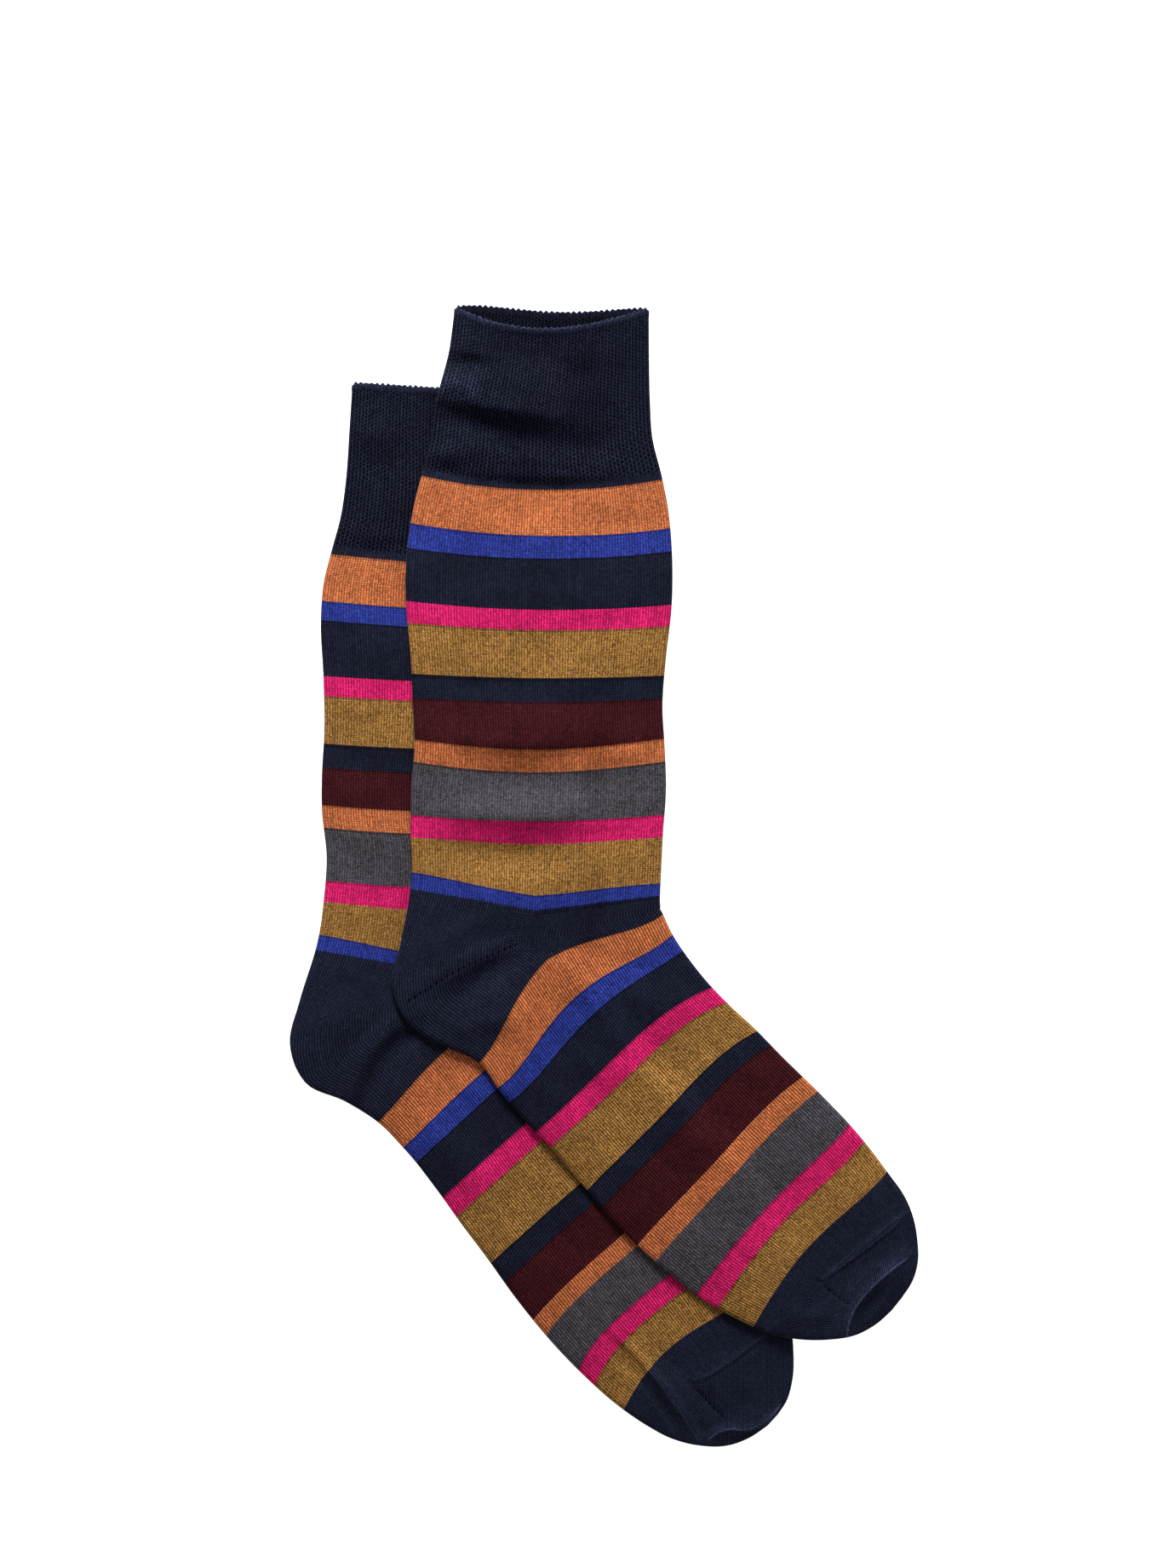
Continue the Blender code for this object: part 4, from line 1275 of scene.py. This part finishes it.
# %% Knit material
SLANT = 0.5  # courses by which the sides of a V run ahead of its middle
STITCH_RELIEF = 0.00028  # metres
BUMP_STRENGTH = 0.5
DARKEST_GAP = 0.0  # of the yarn's colour, between stitches, where dark yarn shows and shade is painted in
BRIGHTEST_LOOP = 2.26  # and on top of a loop
POCKET_BRIGHTENING = (0.19, 1.0)  # the heel and the toe are drawn brighter
WALE_GRAIN = (0.16, 0.92)
CLOUD_GRAIN, CLOUD_SCALE, CLOUD_DETAIL = (0.24, 0.88), 70.0, 3.0
# how strongly the pull's painted highlights and painted shade change the colour
PAINTED_HIGHLIGHT_AND_SHADE = (-0.55, 1.0)
HIGHLIGHT_LINE_WIDTH, HOLE_AND_SHADE_WIDTH = 0.6, 0.7  # mm, half the width of a line of painted highlight and of one of holes and painted shade
HOLES = (-0.62, -0.38)  # a line of holes and painted shade is a row of holes, one at every second wale
REVERSE_NAVY, REVERSE_PAINTED_SHADE = 0.5, 0.55  # the inner face is half navy, and darker by painted shade, as in the shade inside the mouth
ROUGHNESS = (-0.12, 0.86)
SHADER_SETTINGS = {
    "Specular IOR Level": 0.03,
    "Sheen Weight": 0.07,
    "Sheen Roughness": 0.30,
    "Sheen Tint": (0.62, 0.70, 1.0, 1.0),
}


def attribute(tree, name, output):
    """The value of one of the mesh's own attributes."""
    return add_node(tree, "Attribute", {}, output, attribute_name=name)


def separated(vector):
    """The three numbers of a vector."""
    return [add_node(vector.tree, "SeparateXYZ", {0: vector}, i) for i in range(3)]


def drawn_line(tree, kind, half_width):
    """The strength of the fine lines of a kind: full on the line, 0 from half_width (mm) beside it."""
    distance, strength, _ = separated(attribute(tree, kind, "Vector"))
    return distance.math("ABSOLUTE").scaled(-1 / half_width, 1.0).math("MAXIMUM", 0.0) * strength


def knit_material(name, reverse_in_shade):
    """The cloth of a sock. Its inner face, the side that faces the foot, is half navy and darker by painted
    shade.
    """
    material = bpy.data.materials.new(name)
    material.use_nodes = True
    tree = material.node_tree
    stitches = add_node(tree, "UVMap", {}, uv_map="stitches")
    wale, row, _ = separated(stitches)
    side = wale.math("FRACT").scaled(2.0, -1.0).math("ABSOLUTE")
    slanted = side.scaled(-SLANT, row)
    thread = (slanted.math("FRACT") * math.pi).math("SINE")
    loop, in_cuff = loop_height(wale, row, side, thread)

    course = slanted.math("FLOOR")
    colour, heather, edge = stripe_colour(course)
    # tone of the stitches, darker in the gaps by dark yarn and painted shade; painted highlights and shade
    # are multiplied in below
    tone_and_painted_light = blended(loop, DARKEST_GAP, BRIGHTEST_LOOP)
    tone_and_painted_light *= yarn_grain(stitches, wale, row, slanted, in_cuff, heather)
    tone_and_painted_light *= course.math("GREATER_THAN", HEEL_ABOVE).scaled(*POCKET_BRIGHTENING)
    one_wale = {"W": wale.math("FLOOR")}
    tone_and_painted_light *= add_node(tree, "TexWhiteNoise", one_wale, "Value", noise_dimensions="1D").scaled(*WALE_GRAIN)
    place = add_node(tree, "TexCoord", {}, "Object")
    tone_and_painted_light *= soft_noise(place, CLOUD_SCALE, CLOUD_DETAIL, "3D").scaled(*CLOUD_GRAIN)
    # painted highlights on the seam, rim and crests, and painted shade in the floors of creases
    tone_and_painted_light *= attribute(tree, "pull", "Fac").scaled(*PAINTED_HIGHLIGHT_AND_SHADE)
    holes = (wale * math.pi).math("COSINE").scaled(*HOLES).math("MINIMUM", 0.0)
    # painted highlights along crests and seam ridges; below, the holes of gore lines and painted shade in
    # grooves and the toe's knot
    tone_and_painted_light *= drawn_line(tree, "painted_highlight", HIGHLIGHT_LINE_WIDTH) + 1.0
    tone_and_painted_light *= drawn_line(tree, "holes_and_painted_shade", HOLE_AND_SHADE_WIDTH) * holes + 1.0
    tone_and_painted_light = (tone_and_painted_light * edge).math("MAXIMUM", 0.0)
    # the inner face: half navy, and darker by painted shade
    if reverse_in_shade:
        colour = tinted("MIX", REVERSE_NAVY, colour, (*YARNS["navy"][:3], 1.0))
        tone_and_painted_light *= REVERSE_PAINTED_SHADE

    bump = {"Distance": STITCH_RELIEF, "Strength": BUMP_STRENGTH, "Height": loop}
    feed(tree.nodes["Principled BSDF"], {
        "Base Color": tinted("MULTIPLY", 1.0, colour, combined(tone_and_painted_light, tone_and_painted_light, tone_and_painted_light)),
        "Roughness": loop.scaled(*ROUGHNESS),
        "Normal": add_node(tree, "Bump", bump),
        **SHADER_SETTINGS,
    })
    return material


for sock in (upper_sock, lower_sock):
    sock.data.materials.append(knit_material(sock.name + "_face", False))
    sock.data.materials.append(knit_material(sock.name + "_reverse", True))
print(len(bpy.data.materials), "materials")

# %% [markdown]
# ## Joining the frame
#
# Each sock rides on the one body of this object and stands for its solid, which is hidden. A sock isn't
# cut from a flat piece, it is knitted round.

for sock, node, under in ((upper_sock, "upper_sock", lower_sock), (lower_sock, "lower_sock", None)):
    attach(sock, "root")
    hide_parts(node)
    print(sock.name, "stands for", node)

# %% [markdown]
# ## Floor and light
#
# The surface is plain and pale, and wide enough that its edge doesn't show from above. It glows a little,
# like the light table of a studio, which thins the shadow round the cloth. The light comes from beyond the
# cuffs, at a slant: one large soft light draws each fold across the leg, and an even pale world fills the
# shade.

# %% Floor
FLOOR_SIZE = 4.0  # metres
FLOOR_DROP = 0.0003  # metres that it lies below the cloth, so that no two faces coincide

bpy.ops.mesh.primitive_plane_add(size=FLOOR_SIZE, location=(0.0, 0.0, -FLOOR_DROP))
floor = bpy.context.object
floor.name = "floor"
paint = bpy.data.materials.new("pale surface")
paint.use_nodes = True
feed(paint.node_tree.nodes["Principled BSDF"], {
    "Base Color": (0.90, 0.90, 0.90, 1.0),
    "Roughness": 0.9,
    "Specular IOR Level": 0.0,
    "Emission Color": (1.0, 1.0, 1.0, 1.0),
    "Emission Strength": 0.9,
})
floor.data.materials.append(paint)
print("the floor is", floor.dimensions[0], "m wide")

# %% Lights
LAMP_X, LAMP_Y, LAMP_Z = -0.12, 1.35, 0.62  # metres
LAMP_SIZE = 0.6  # metres
LAMP_POWER = 36.0  # watts
ROOM_LIGHT = 0.32  # strength of the even light all round

lamp = bpy.data.lights.new("main soft light", "AREA")
lamp.shape = "DISK"
lamp.size = LAMP_SIZE
lamp.energy = LAMP_POWER
holder = bpy.data.objects.new("main soft light", lamp)
holder.location = (LAMP_X, LAMP_Y, LAMP_Z)
tilt, turn = math.atan2(math.hypot(LAMP_X, LAMP_Y), LAMP_Z), math.atan2(-LAMP_X, LAMP_Y) + math.pi
holder.rotation_euler = (tilt, 0.0, turn)
bpy.context.scene.collection.objects.link(holder)

world = bpy.data.worlds.new("pale room")
world.use_nodes = True
feed(world.node_tree.nodes["Background"], {"Color": (1.0, 1.0, 1.0, 1.0), "Strength": ROOM_LIGHT})
bpy.context.scene.world = world
bpy.context.scene.view_settings.view_transform = "Standard"
bpy.context.view_layer.update()
print("one light, tilted by", round(math.degrees(tilt)), "degrees, and a pale world")
